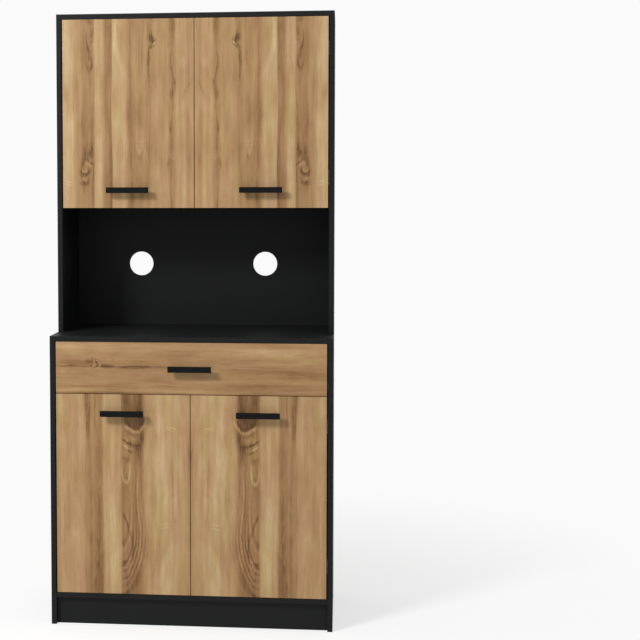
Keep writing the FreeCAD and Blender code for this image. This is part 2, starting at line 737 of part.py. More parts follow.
def drawer_runner():
    """The drawer's member: a foot under the drawer side, a web, and a flange over the roller."""
    start = f"{BOX_FRONT} + drawer_member_set"
    long = "(drawer_deep - drawer_member_set)"
    web_x = f"{BOX_LEFT} - runner_sheet"
    flange_low = f"{CHANNEL_TOP} + top_flange_gap"
    foot = block("member_foot", (web_x, start, f"{BOX_BOTTOM} - runner_sheet"),
                 "runner_sheet + under_flange_wide", long, "runner_sheet")
    web = block("member_web", (web_x, start, f"{BOX_BOTTOM} - runner_sheet"), "runner_sheet", long,
                "channel_lift + channel_high + top_flange_gap + 2 * runner_sheet")
    flange = block("member_flange", (f"{INNER_LEFT} + top_flange_start", start, flange_low),
                   "runner_space - top_flange_start", long, "runner_sheet")
    pivot = axle("member_axle", web_x, f"{BOX_FRONT} + drawer_deep - roller_inset", False)
    member_holes = []
    for end, along in (("front", "runner_screw_front"), ("back", "runner_screw_back")):
        seat = (f"{BOX_LEFT} + under_flange_wide / 2", f"{BOX_FRONT} + {along}",
                f"{BOX_BOTTOM} - runner_sheet")
        drawer_runner_screws.append(stepped_rod(f"member_{end}_screw", seat, "z", True, *MEMBER_SCREW))
        hole = rod(f"member_{end}_hole", moved(seat, "z", "-overrun"), "z",
                   "wood_screw_radius + fit_gap", "groove_rise - groove_slack + fit_gap")
        member_holes.append(hole)
    drawer_side_holes.extend(member_holes)
    return cut("drawer_runner_left", fuse("member_blank", [foot, web, flange] + pivot),
               group("member_holes", member_holes))


def roller(name, y, radius):
    """A nylon wheel that turns on a runner's axle."""
    start = (f"{INNER_LEFT} + roller_start", y, AXLE_HEIGHT)
    wheel = rod(f"{name}_wheel", start, "x", radius, "roller_wide")
    bore = rod(f"{name}_bore", moved(start, "x", "-overrun"), "x", "axle_radius + pin_slack",
               "roller_wide + 2 * overrun")
    return cut(name, wheel, bore)


runner_pieces = {
    "cabinet_runner": channel_runner(),
    "drawer_runner": drawer_runner(),
    "cabinet_roller": roller("cabinet_roller_left", f"{CHANNEL_FRONT} + roller_inset", "front_roller_radius"),
    "drawer_roller": roller("drawer_roller_left", f"{BOX_FRONT} + drawer_deep - roller_inset",
                            "rear_roller_radius"),
}
for piece, item in runner_pieces.items():
    keep(item, f"{piece}_left")
    keep(mirror(f"{piece}_right", item), f"{piece}_right")

# Drawer box: sides with a groove for the bottom, a back over the bottom, and the front

drawer_dowels = []
drawer_back_screws = []
front_dowel_holes = []
back_screw_holes = []
DOWEL_RISES = ("drawer_side_high / 4", "3 * drawer_side_high / 4")
BACK_LOW = f"({BOX_BOTTOM} + groove_rise + drawer_bottom_thick)"
BACK_Y = f"({BOX_FRONT} + drawer_deep - drawer_side_thick)"
for number, rise in enumerate(DOWEL_RISES):
    spot = (f"{BOX_LEFT} + drawer_side_thick / 2", f"{BOX_FRONT} - dowel_half", f"{BOX_BOTTOM} + {rise}")
    add_pair(drawer_dowels, front_dowel_holes, f"drawer_dowel_{number}", spot, "y",
             "drawer_dowel_radius", "2 * dowel_half")
BACK_SCREW = (("wood_head_radius", "wood_head_high"), ("wood_screw_radius", "back_screw_long"))
BACK_SCREW_HEIGHTS = {
    "low": f"{BACK_LOW} + back_screw_edge",
    "high": f"{BOX_BOTTOM} + drawer_side_high - back_screw_edge",
}
for end, z in BACK_SCREW_HEIGHTS.items():
    seat = (BOX_LEFT, f"{BACK_Y} + drawer_side_thick / 2", z)
    drawer_back_screws.append(stepped_rod(f"drawer_back_{end}_screw", seat, "x", True, *BACK_SCREW))
    back_screw_holes.append(rod(f"drawer_back_{end}_hole", moved(seat, "x", "-overrun"), "x",
                                "wood_screw_radius + fit_gap", "back_screw_long + overrun + fit_gap"))

side_blank = block("drawer_side_blank", (BOX_LEFT, BOX_FRONT, BOX_BOTTOM),
                   "drawer_side_thick", "drawer_deep", "drawer_side_high")
groove = block("drawer_groove", (f"{BOX_LEFT} + drawer_side_thick - groove_deep - groove_slack",
                                 f"{BOX_FRONT} - overrun", f"{BOX_BOTTOM} + groove_rise - groove_slack"),
               "groove_deep + groove_slack + overrun", "drawer_deep + 2 * overrun",
               "drawer_bottom_thick + 2 * groove_slack")
drawer_left_holes = front_dowel_holes + back_screw_holes + drawer_side_holes
side_tools = group("drawer_side_tools", [groove] + drawer_left_holes)
drawer_side = keep(cut("drawer_side_left", side_blank, side_tools), "drawer_side_left")
keep(mirror("drawer_side_right", drawer_side), "drawer_side_right")

box_inner_x = f"{BOX_LEFT} + drawer_side_thick"
box_inner_wide = f"{INNER_WIDE} - 2 * runner_space - 2 * drawer_side_thick"
back_blank = block("drawer_back_blank", (box_inner_x, BACK_Y, BACK_LOW), box_inner_wide,
                   "drawer_side_thick", "drawer_side_high - groove_rise - drawer_bottom_thick")
back_tools = group("drawer_back_tools", back_screw_holes)
back_tool_pair = group("drawer_back_tool_pair", [back_tools, mirror("drawer_back_tools_right", back_tools)])
keep(cut("drawer_back", back_blank, back_tool_pair), "drawer_back")
keep(block("drawer_bottom", (f"{box_inner_x} - groove_deep", BOX_FRONT, f"{BOX_BOTTOM} + groove_rise"),
           f"{box_inner_wide} + 2 * groove_deep", "drawer_deep", "drawer_bottom_thick"), "drawer_bottom")

drawer_wide = f"({INNER_WIDE} - 2 * side_gap)"
front_blank = front_panel("drawer_front_blank", DOOR_LEFT, FRONT, DRAWER_BOTTOM, drawer_wide,
                          "drawer_front_high", (f"{drawer_wide} / 2", "drawer_front_high / 2"), [])
front_tools = group("drawer_front_tools", front_dowel_holes)
front_tools_right = mirror("drawer_front_tools_right", front_tools)
front_tool_pair = group("drawer_front_tool_pair", [front_tools, front_tools_right])
keep(cut("drawer_front", front_blank, front_tool_pair), "drawer_front")
drawer_middle_z = f"({DRAWER_BOTTOM} + drawer_front_high / 2)"
keep(handle("drawer_handle", "0", FRONT, drawer_middle_z), "drawer_handle")
keep(group("drawer_handle_screws", handle_screws("drawer_handle_screw", "0", FRONT, drawer_middle_z)),
     "drawer_handle_screws")

# Wall bracket: a steel angle under the top board, with a hole for a screw into the wall

bracket_low = f"({UNDER_TOP} - bracket_leg)"
level_leg = block("bracket_level_leg", ("-bracket_wide / 2", f"{FRAME_BACK} - bracket_leg",
                                        f"{UNDER_TOP} - bracket_thick"),
                  "bracket_wide", "bracket_leg", "bracket_thick")
upright_leg = block("bracket_upright_leg", ("-bracket_wide / 2", f"{FRAME_BACK} - bracket_thick",
                                            bracket_low), "bracket_wide", "bracket_thick", "bracket_leg")
wall_spot = ("0", f"{FRAME_BACK} - bracket_thick - overrun", f"{UNDER_TOP} - wall_hole_drop")
wall_hole = rod("bracket_wall_hole", wall_spot, "y", "wall_hole_radius", "bracket_thick + 2 * overrun")
panel_hole = rod("panel_wall_hole", moved(wall_spot, "y", "bracket_thick"), "y",
                 "wall_hole_radius + wall_hole_play", "back_thick + 2 * overrun")
bracket_screws = []
bracket_holes = []
for side, sign in (("left", "-"), ("right", "")):
    seat = (f"{sign}bracket_screw_side", f"{FRAME_BACK} - bracket_screw_set", f"{UNDER_TOP} - bracket_thick")
    bracket_screws.append(stepped_rod(f"bracket_{side}_screw", seat, "z", True, *PLATE_SCREW))
    bracket_holes.append(rod(f"bracket_{side}_hole", moved(seat, "z", "-overrun"), "z",
                             "wood_screw_radius + fit_gap", "wood_screw_long + overrun + fit_gap"))
bracket_tools = group("bracket_tools", [wall_hole] + bracket_holes)
keep(cut("wall_bracket", fuse("bracket_blank", [level_leg, upright_leg]), bracket_tools), "wall_bracket")
keep(group("wall_bracket_screws", bracket_screws), "wall_bracket_screws")
middle_holes.extend(bracket_holes)

# Boards of the frame, drilled for their fasteners

left_holes = group("left_holes", holes)
all_holes = group("all_holes", [left_holes, mirror("right_holes", left_holes)] + middle_holes)
frame_deep = "(base_depth - back_thick)"
hutch_frame_deep = "(hutch_depth - back_thick)"


def drilled(name, blank, tool):
    return keep(cut(name, blank, tool), name)


def side_panel(level, front, low, deep, high):
    """Left side panel, and its mirror image on the right."""
    blank = slab(f"{level}_side_blank", (LEFT, front, low), "board", deep, high)
    left = drilled(f"{level}_side_left", blank, left_holes)
    keep(mirror(f"{level}_side_right", left), f"{level}_side_right")


side_panel("base", FRONT, "0", frame_deep, UNDER_WORKTOP)
side_panel("hutch", HUTCH_FRONT, "worktop_height", hutch_frame_deep, f"{UNDER_TOP} - worktop_height")
BOARDS = {
    "worktop": (LEFT, FRONT, UNDER_WORKTOP, "width", frame_deep),
    "hutch_top": (LEFT, HUTCH_FRONT, UNDER_TOP, "width", hutch_frame_deep),
    "base_bottom": (INNER_LEFT, FRONT, "plinth_high", INNER_WIDE, frame_deep),
    "hutch_bottom": (INNER_LEFT, CUPBOARD_FRONT, HUTCH_FLOOR, INNER_WIDE, f"{hutch_frame_deep} - inner_set"),
    "drawer_rail": (INNER_LEFT, RAIL_FRONT, RAIL_UNDER, INNER_WIDE, "rail_deep"),
}
for board_name, (x, y, z, wide, deep) in BOARDS.items():
    drilled(board_name, slab(f"{board_name}_blank", (x, y, z), wide, deep, "board"), all_holes)
plinth_blank = slab("plinth_blank", (INNER_LEFT, f"{FRONT} + plinth_set", "0"), INNER_WIDE,
                    "board", "plinth_high")
drilled("plinth", plinth_blank, all_holes)
for shelf_name, (near, under) in SHELVES.items():
    keep(slab(shelf_name, (f"{INNER_LEFT} + shelf_slack", near, under), f"{INNER_WIDE} - 2 * shelf_slack",
               f"{SHELF_BACK} - {near}", "board"), shelf_name)

# Back panels: thin boards over the rear edges, the upper one with two cable holes

panel_wide = "width - 2 * back_inset"
panel_x = f"{LEFT} + back_inset"
base_panel = block("base_back_blank", (panel_x, FRAME_BACK, "back_inset"), panel_wide, "back_thick",
                   f"{BACK_SEAM} - back_inset - fit_gap")
drilled("base_back_panel", base_panel, all_holes)
hutch_panel = block("hutch_back_blank", (panel_x, FRAME_BACK, BACK_SEAM), panel_wide, "back_thick",
                    f"height - back_inset - {BACK_SEAM}")
cable_spots = [(f"{sign}cable_side", f"{FRAME_BACK} - overrun", "worktop_height + cable_rise")
               for sign in ("-", "")]
cable_holes = [rod(f"cable_hole_{number}", spot, "y", "cable_radius", "back_thick + 2 * overrun")
               for number, spot in enumerate(cable_spots)]
panel_tools = group("hutch_back_tools", [all_holes, panel_hole] + cable_holes)
drilled("hutch_back_panel", hutch_panel, panel_tools)

# Fasteners, each kind in one group, on both sides


def keep_pair(name, left_items, middle_items=()):
    left = group(f"{name}_left_half", left_items)
    keep(group(name, [left, mirror(f"{name}_right_half", left)] + list(middle_items)), name)


FASTENERS = {
    "cam_locks": cams,
    "cam_bolts": bolts,
    "shelf_pins": shelf_pins,
    "back_panel_nails": nails,
    "hinge_plates": hinge_plates,
    "hinge_arms": hinge_arms,
    "hinge_plate_screws": plate_screws,
    "cabinet_runner_screws": cabinet_runner_screws,
    "drawer_runner_screws": drawer_runner_screws,
    "drawer_dowels": drawer_dowels,
    "drawer_back_screws": drawer_back_screws,
}
for name, items in FASTENERS.items():
    keep_pair(name, items)
keep_pair("dowels", dowels, middle_dowels)

doc.recompute()

# Every object has to be sound before anything is written

for item in doc.Objects:
    if "Invalid" in item.State or "Error" in item.State:
        raise RuntimeError(f"{item.Name} failed: {item.State}")
for item in nodes:
    if item.Shape.isNull() or not item.Shape.isValid():
        raise RuntimeError(f"{item.Label} has no sound shape")

os.makedirs("parts", exist_ok=True)
for item in nodes:
    item.Shape.exportStep(f"parts/{item.Label}.step")
    print(item.Label, len(item.Shape.Solids), round(item.Shape.Volume))
print(len(nodes), "sub-parts")
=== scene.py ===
"""A kitchen storage cabinet's looks: materials, small fittings, camera and studio round the CAD parts."""

import math

import bpy
import numpy as np
from mathutils import Matrix, Vector


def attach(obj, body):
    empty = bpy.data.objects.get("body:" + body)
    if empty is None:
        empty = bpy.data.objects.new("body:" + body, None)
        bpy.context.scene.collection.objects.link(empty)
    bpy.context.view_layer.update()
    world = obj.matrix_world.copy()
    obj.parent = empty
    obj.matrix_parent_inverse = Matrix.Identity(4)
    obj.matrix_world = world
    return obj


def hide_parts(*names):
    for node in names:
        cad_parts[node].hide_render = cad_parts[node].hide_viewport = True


MM = 0.001
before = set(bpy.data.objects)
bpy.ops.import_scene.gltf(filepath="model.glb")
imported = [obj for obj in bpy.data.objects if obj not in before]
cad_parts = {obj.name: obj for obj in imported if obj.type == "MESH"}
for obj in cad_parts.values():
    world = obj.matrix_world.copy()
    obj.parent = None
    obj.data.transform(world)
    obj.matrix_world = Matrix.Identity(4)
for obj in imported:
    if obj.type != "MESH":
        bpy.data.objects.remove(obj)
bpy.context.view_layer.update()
SIDES = ("left", "right")
LEVELS = ("upper", "base")


def linear(code):
    """A colour given as #rrggbb in sRGB, as linear red, green, blue and alpha."""
    shares = np.array([int(code[start:start + 2], 16) for start in (1, 3, 5)]) / 255
    low = shares / 12.92
    high = ((shares + 0.055) / 1.055) ** 2.4
    return tuple(float(value) for value in np.where(shares <= 0.04045, low, high)) + (1.0,)


# Camera: where the photograph was taken from, found from the cabinet's own edges

PHOTO_SIDE = 640
CAMERA_PLACE = (437.0 * MM, -4277.0 * MM, 1279.5 * MM)
CAMERA_TURN_LEFT = 6.01
CAMERA_TILT_DOWN = 3.22
CAMERA_ROLL = 0.12
FOCAL_PIXELS = 1430.2
OPTICAL_CENTRE = (192, 270)
SENSOR = 36.0


def place_camera():
    """A camera from its place, its three turns, its focal length and its optical centre, both in pixels."""
    turn = math.radians(CAMERA_TURN_LEFT)
    tilt = math.radians(CAMERA_TILT_DOWN)
    roll = math.radians(CAMERA_ROLL)
    ahead = Vector((-math.cos(tilt) * math.sin(turn), math.cos(tilt) * math.cos(turn), -math.sin(tilt)))
    level = Vector((math.cos(turn), math.sin(turn), 0))
    down = ahead.cross(level)
    right = math.cos(roll) * level + math.sin(roll) * down
    under = math.cos(roll) * down - math.sin(roll) * level
    data = bpy.data.cameras.new("camera")
    data.sensor_width = SENSOR
    data.lens = FOCAL_PIXELS / PHOTO_SIDE * SENSOR
    data.shift_x = (PHOTO_SIDE / 2 - OPTICAL_CENTRE[0]) / PHOTO_SIDE
    data.shift_y = (OPTICAL_CENTRE[1] - PHOTO_SIDE / 2) / PHOTO_SIDE
    camera = bpy.data.objects.new("camera", data)
    axes = Matrix((right, -under, -ahead)).transposed().to_4x4()
    camera.matrix_world = Matrix.Translation(Vector(CAMERA_PLACE)) @ axes
    bpy.context.scene.collection.objects.link(camera)
    bpy.context.scene.camera = camera


# Materials

def new_material(name):
    """An empty material with its tree and its surface shader."""
    material = bpy.data.materials.new(name)
    material.use_nodes = True
    tree = material.node_tree
    return material, tree, tree.nodes["Principled BSDF"]


def add(tree, kind, inputs=None, **settings):
    """One node with its settings; an input is a value, another node, or one of its sockets."""
    node = tree.nodes.new("ShaderNode" + kind)
    for name, value in settings.items():
        setattr(node, name, value)
    for key, value in (inputs or {}).items():
        if isinstance(value, bpy.types.Node):
            value = value.outputs[0]
        if isinstance(value, bpy.types.NodeSocket):
            tree.links.new(value, node.inputs[key])
        else:
            node.inputs[key].default_value = value
    return node


def grain_noise(tree, place, across, along, detail=3.0, rough=0.5):
    """Uneven lines along the grain: cloudy noise drawn out to so many mm each way, 0 to 1."""
    fine = (1 / across, 1 / along, 1 / across)
    drawn = add(tree, "VectorMath", {0: place, 1: fine}, operation="MULTIPLY")
    return add(tree, "TexNoise", {"Vector": drawn, "Scale": 1.0, "Detail": detail, "Roughness": rough})


def shifted(tree, place, noise, reach):
    """A place moved by up to half of reach each way, as a noise's three colours say."""
    even = add(tree, "VectorMath", {0: noise.outputs["Color"], 1: (0.5, 0.5, 0.5)}, operation="SUBTRACT")
    return add(tree, "VectorMath", {0: even, 1: reach, 2: place}, operation="MULTIPLY_ADD")


NO_DEPTH = 1e6                 # so long an oval that depth counts for nothing


def oval(tree, place, across, along, half_across, half_along, turn=0):
    """How far a point is from a long oval's middle, 1 at its edge, and the way there."""
    way = add(tree, "Mapping", {"Vector": place, "Location": (across, along, 0),
                                "Rotation": (0, 0, math.radians(turn)),
                                "Scale": (half_across, half_along, NO_DEPTH)}, vector_type="TEXTURE")
    return add(tree, "VectorMath", {0: way}, operation="LENGTH").outputs["Value"], way


def fill_ramp(node, stops):
    """Give a colour ramp its stops, as place and colour."""
    ramp = node.color_ramp
    for number, (spot, colour) in enumerate(stops):
        stop = ramp.elements[number] if number < 2 else ramp.elements.new(spot)
        stop.position = spot
        stop.color = colour


REACH = 400.0                  # the largest place that a ramp's colour can hold, mm
HALF_REACH = 25.0              # and the largest half width


def wandering(tree, across, along, length, stops):
    """A streak that wanders down the panel: its place, half width and share at some places along."""
    down = add(tree, "Math", {0: along, 1: length}, operation="DIVIDE")
    course = add(tree, "ValToRGB", {0: down})
    course.color_ramp.interpolation = "CARDINAL"
    fill_ramp(course, [(spot / length, (middle / REACH, half / HALF_REACH, abs(share), 1))
                       for spot, middle, half, share in stops])
    parts = add(tree, "SeparateColor", {0: course})
    off = add(tree, "Math", {0: parts.outputs[0], 1: -REACH, 2: across}, operation="MULTIPLY_ADD")
    off = add(tree, "Math", {0: off}, operation="ABSOLUTE")
    half = add(tree, "Math", {0: parts.outputs[1], 1: HALF_REACH}, operation="MULTIPLY")
    far = add(tree, "Math", {0: off, 1: half}, operation="DIVIDE")
    here = add(tree, "MapRange", {"Value": far, "From Min": 1.5, "From Max": 0.1},
               interpolation_type="SMOOTHSTEP")
    return here, parts.outputs[2]


OAK_TONES = (
    (0.00, "#67472c"), (0.16, "#83623f"), (0.34, "#997750"), (0.52, "#ab8861"),
    (0.70, "#b99870"), (0.86, "#c5a880"), (1.00, "#d2b893"),
)
STAVE_SHIFT = 370.0            # staves read their noise this far apart in depth, mm
DRIFT = (12, 60, 0)            # lines drift this far across and along over a hand's length, mm
RUFFLE = (9, 24, 0)            # and are ruffled this far over a finger's length, mm


def panel_places(tree, origin, level_grain, staves):
    """Across, and a place in mm: across and along from the outer top corner, and depth.

    Each stave has its own grain, so its depth is shifted and the noise there is another.
    """
    spot = add(tree, "TexCoord").outputs["Object"]
    parts = add(tree, "SeparateXYZ", {0: spot})
    sideways, scale = parts.outputs["X"], 1 / MM
    if not level_grain:
        sideways, scale = add(tree, "Math", {0: sideways}, operation="ABSOLUTE"), -1 / MM
    sideways = add(tree, "Math", {0: sideways, 1: scale, 2: origin[0]}, operation="MULTIPLY_ADD")
    downward = add(tree, "Math", {0: parts.outputs["Z"], 1: -1 / MM, 2: origin[1]},
                   operation="MULTIPLY_ADD")
    depth = add(tree, "Math", {0: parts.outputs["Y"], 1: 1 / MM}, operation="MULTIPLY")
    across, along = (downward, sideways) if level_grain else (sideways, downward)
    place = add(tree, "CombineXYZ", {0: across, 1: along, 2: depth})
    stave = 0.0
    for edge in staves:
        past = add(tree, "Math", {0: across, 1: edge}, operation="GREATER_THAN")
        stave = add(tree, "Math", {0: past, 1: stave}, operation="ADD")
    own = add(tree, "Math", {0: stave, 1: STAVE_SHIFT}, operation="MULTIPLY")
    own = add(tree, "CombineXYZ", {2: own})
    return across, add(tree, "VectorMath", {0: place, 1: own}, operation="ADD")


def dark_figure(tree, across, wavy, ruffled, length, lines, streaks, arcs):
    """How much darker the figure is: the sum of long streaks, ovals and growth rings, made patchy."""
    dark = 0.0
    spread = add(tree, "SeparateXYZ", {0: ruffled})
    for sign, stops in lines:
        here, share = wandering(tree, spread.outputs["X"], spread.outputs["Y"], length, stops)
        here = add(tree, "Math", {0: here, 1: sign}, operation="MULTIPLY")
        dark = add(tree, "Math", {0: here, 1: share, 2: dark}, operation="MULTIPLY_ADD")
    for middle_across, middle_along, half_across, half_along, share, turn in streaks:
        far, way = oval(tree, ruffled, middle_across, middle_along, half_across, half_along, turn)
        here = add(tree, "MapRange", {"Value": far, "From Min": 1.45, "From Max": 0.15, "To Max": share},
                   interpolation_type="SMOOTHSTEP")
        dark = add(tree, "Math", {0: here, 1: dark}, operation="ADD")
    patchy = grain_noise(tree, wavy, 4, 34, 4.0, 0.6)
    patchy = add(tree, "MapRange", {"Value": patchy, "From Min": 0.3, "From Max": 0.7,
                                    "To Min": 0.22, "To Max": 1.1})

    # growth rings: thin lines along the lower half of an oval, ending at the stave's edge
    for middle_across, middle_along, half_across, half_along, thick, share, turn, edge in arcs:
        far, way = oval(tree, ruffled, middle_across, middle_along, half_across, half_along, turn)
        off = add(tree, "Math", {0: far, 1: 1.0}, operation="SUBTRACT")
        off = add(tree, "Math", {0: off}, operation="ABSOLUTE")
        line = add(tree, "MapRange", {"Value": off, "From Min": 1.5 * thick, "From Max": 0.0,
                                      "To Max": share}, interpolation_type="SMOOTHSTEP")
        below = add(tree, "SeparateXYZ", {0: way})
        lower = add(tree, "MapRange", {"Value": below.outputs["Y"], "From Min": -0.5, "From Max": 0.3})
        line = add(tree, "Math", {0: line, 1: lower}, operation="MULTIPLY")
        beyond = add(tree, "Math", {0: across, 1: edge}, operation="GREATER_THAN")
        dark = add(tree, "Math", {0: line, 1: beyond, 2: dark}, operation="MULTIPLY_ADD")
    return add(tree, "Math", {0: dark, 1: patchy}, operation="MULTIPLY")


def oak_tone(tree, wavy, dark, bands):
    """The tone, 0 to 1: the bands across the panel, less what is dark, plus grain from coarse to fine."""
    where = add(tree, "SeparateXYZ", {0: wavy})
    wide = bands[-1][0]
    share_across = add(tree, "Math", {0: where, 1: wide}, operation="DIVIDE")
    band = add(tree, "ValToRGB", {0: share_across})
    fill_ramp(band, [(spot / wide, (tone, tone, tone, 1)) for spot, tone in bands])
    tone = add(tree, "Math", {0: band, 1: dark}, operation="SUBTRACT")
    coarse = grain_noise(tree, wavy, 12, 220, 5.0, 0.55)
    fine = grain_noise(tree, wavy, 2.6, 60, 4.0, 0.6)
    cloud = grain_noise(tree, wavy, 34, 110, 3.0)
    for noise, reach in ((coarse, 0.52), (fine, 0.12), (cloud, 0.55)):
        even = add(tree, "Math", {0: noise, 1: 0.5}, operation="SUBTRACT")
        tone = add(tree, "Math", {0: even, 1: reach, 2: tone}, operation="MULTIPLY_ADD")
    accent = grain_noise(tree, wavy, 5, 70, 4.0, 0.6)
    accent = add(tree, "MapRange", {"Value": accent, "From Min": 0.58, "From Max": 0.76, "To Max": 0.20})
    tone = add(tree, "Math", {0: tone, 1: accent}, operation="SUBTRACT")
    pores = grain_noise(tree, wavy, 0.9, 16, 2.0)
    pore = add(tree, "MapRange", {"Value": pores, "From Min": 0.6, "From Max": 0.68})
    return add(tree, "Math", {0: pore, 1: -0.06, 2: tone}, operation="MULTIPLY_ADD"), fine, pore


def oak(name, origin, length, level_grain, bands, lines, streaks, arcs, staves):
    """Chipboard with a printed wild oak face under a matt melamine film.

    The print gives planed oak's look: staves of different tone, long wavering streaks, growth rings cut
    into arcs round the knots, and short dark pores. The film gives a low even sheen with a shallow
    pressed grain. All places are in mm across and along the grain, from the panel's outer top corner,
    and the two doors of a pair are mirror images. A share above 0 is darker, and below 0 paler.
    """
    material, tree, shader = new_material(name)
    across, place = panel_places(tree, origin, level_grain, staves)
    wavy = shifted(tree, place, grain_noise(tree, place, 80, 300, 2.0), DRIFT)
    ruffled = shifted(tree, wavy, grain_noise(tree, place, 9, 30, 6.0, 0.62), RUFFLE)
    dark = dark_figure(tree, across, wavy, ruffled, length, lines, streaks, arcs)
    tone, fine, pore = oak_tone(tree, wavy, dark, bands)
    colour = add(tree, "ValToRGB", {0: tone})
    fill_ramp(colour, [(spot, linear(code)) for spot, code in OAK_TONES])

    # some lines lean to pink, others to straw
    lean = grain_noise(tree, wavy, 30, 200, 3.0)
    lean = add(tree, "MapRange", {"Value": lean, "From Min": 0.35, "From Max": 0.65})
    warmth = add(tree, "ValToRGB", {0: lean})
    fill_ramp(warmth, [(0.0, linear("#fdfcea")), (1.0, linear("#fff6f2"))])
    tinted = add(tree, "Mix", {0: 1.0, 6: colour, 7: warmth}, data_type="RGBA", blend_type="MULTIPLY")
    rough = add(tree, "MapRange", {"Value": fine, "To Min": 0.42, "To Max": 0.62})
    relief = add(tree, "Math", {0: pore, 1: -0.6, 2: fine}, operation="MULTIPLY_ADD")
    bump = add(tree, "Bump", {"Height": relief, "Strength": 0.25, "Distance": 0.15 * MM})
    finish(tree, shader, tinted.outputs[2], rough, bump, 0.3)
    return material


def finish(tree, shader, colour, rough, bump, gloss):
    """Join a surface's colour, roughness and relief to its shader, and set how much it shines."""
    tree.links.new(colour, shader.inputs["Base Color"])
    tree.links.new(rough.outputs[0], shader.inputs["Roughness"])
    tree.links.new(bump.outputs[0], shader.inputs["Normal"])
    shader.inputs["Specular IOR Level"].default_value = gloss


# Fronts: places in mm across and along the grain; tone 0 is the darkest oak and 1 the palest
# BANDS: across, tone. LINES: sign, and stops of along, across, half width and share.
# STREAKS: middle across and along, half sizes, share, turn in degrees.
# ARCS: middle across and along, half sizes, thickness as a share of them, share, turn, first place across.

OUTER_EDGE = 394.5
UPPER_TOP, UPPER_LONG, UPPER_STAVES = 1784.0, 559.0, (96, 150, 257)
BASE_TOP, BASE_LONG, BASE_STAVES = 684.5, 588.0, (88, 192)
DRAWER_TOP, DRAWER_STAVES = 837.0, (75,)

UPPER_BANDS = (
    (0, 0.84), (28, 0.84), (40, 0.62), (54, 0.58), (60, 0.46), (94, 0.44), (97, 0.72), (117, 0.78),
    (128, 0.44), (146, 0.38), (149.5, 0.78), (192, 0.74), (200, 0.5), (212, 0.46), (217, 0.56), (250, 0.52),
    (257, 0.48), (272, 0.62), (312, 0.64), (322, 0.5), (333, 0.48), (345, 0.72), (364, 0.74), (376, 0.6),
    (393, 0.66),
)
UPPER_LINES = (
    (1, ((0, 80, 10, 0.2), (14, 84, 8, 0.3), (24, 88, 5, 0.1), (40, 90, 5, 0.3), (58, 88, 5, 0.5),
         (76, 87, 4, 0.2), (90, 80, 4, 0.28), (120, 84, 5, 0.3), (142, 86, 5, 0.34), (165, 82, 4, 0.2),
         (200, 84, 6, 0.1), (250, 86, 8, 0.12), (300, 88, 5, 0.2), (350, 88, 6, 0.3), (390, 88, 5, 0.4),
         (402, 86, 8, 0.3), (430, 90, 3, 0.2), (466, 91, 2.5, 0.45), (500, 90, 2.5, 0.2),
         (559, 90, 3, 0.26))),
    (1, ((0, 60, 3, 0), (30, 70, 3, 0.1), (60, 74, 3, 0.28), (100, 76, 4, 0.3), (150, 76, 3, 0.2),
         (180, 70, 3, 0.05), (300, 60, 5, 0.2), (350, 66, 14, 0.14), (385, 72, 18, 0.3),
         (405, 72, 19, 0.42), (422, 64, 14, 0.3), (440, 58, 5, 0.36), (465, 56, 4, 0.3), (490, 58, 6, 0.2),
         (520, 60, 12, 0.2), (559, 60, 10, 0.1))),
    (1, ((0, 206, 3, 0.1), (60, 207, 3, 0.2), (150, 206, 4, 0.26), (240, 206, 4, 0.14), (300, 205, 6, 0.22),
         (330, 205, 8, 0.28), (370, 206, 6, 0.2), (420, 208, 5, 0.16), (500, 210, 6, 0.2),
         (540, 208, 10, 0.3), (559, 208, 9, 0.2))),
    (1, ((0, 264, 9, 0.36), (30, 263, 9, 0.34), (60, 266, 9, 0.44), (76, 268, 9, 0.3), (92, 262, 6, 0.4),
         (105, 259, 4, 0.56), (140, 259, 3.5, 0.5), (170, 259, 3, 0.34), (200, 261, 3, 0.2),
         (240, 262, 3, 0.14), (300, 262, 3, 0), (559, 262, 3, 0))),
    (1, ((0, 330, 9, 0.3), (40, 330, 9, 0.3), (72, 331, 7, 0.2), (90, 329, 4, 0.15), (110, 326, 3, 0.36),
         (140, 326, 3, 0.32), (165, 331, 3, 0.36), (188, 335, 5, 0.36), (206, 333, 5, 0.3),
         (226, 329, 8, 0.4), (244, 330, 4, 0.3), (265, 332, 3.5, 0.3), (290, 329, 3, 0.14),
         (315, 324, 5, 0.34), (330, 324, 6, 0.46), (345, 324, 4, 0.3), (372, 326, 3.5, 0.34),
         (396, 324, 5, 0.24), (420, 321, 8, 0.44), (445, 321, 7, 0.36), (470, 322, 5, 0.28),
         (500, 322, 5, 0.32), (535, 325, 4, 0.3), (559, 326, 4, 0.2))),
    (1, ((0, 136, 12, 0.3), (60, 137, 12, 0.3), (120, 138, 10, 0.16), (180, 132, 6, 0.14),
         (260, 130, 6, 0.08), (330, 142, 5, 0.1), (400, 148, 6, 0.24), (440, 148, 6, 0.3),
         (480, 146, 6, 0.2), (520, 145, 5, 0.36), (559, 145, 5, 0.4))),
    (1, ((0, 378, 5, 0), (150, 376, 4, 0.1), (200, 376, 4, 0.24), (215, 366, 4, 0.26), (240, 364, 4, 0.1),
         (300, 378, 4, 0.1), (400, 370, 4, 0), (559, 370, 4, 0))),
    (-1, ((0, 160, 8, 0.2), (60, 160, 7, 0.3), (90, 163, 8, 0.16), (150, 180, 10, 0.16),
          (230, 172, 12, 0.02), (320, 182, 9, 0.14), (420, 184, 9, 0.16), (559, 180, 9, 0.1))),
    (-1, ((0, 106, 6, 0.05), (100, 104, 7, 0.1), (170, 104, 7, 0.18), (260, 106, 8, 0.1),
          (460, 112, 8, 0.14), (559, 110, 8, 0.1))),
    (-1, ((0, 18, 10, 0.1), (60, 16, 10, 0.06), (140, 14, 8, 0.2), (180, 14, 8, 0.18), (215, 14, 8, 0),
          (260, 14, 8, 0.1), (559, 14, 8, 0.1))),
)
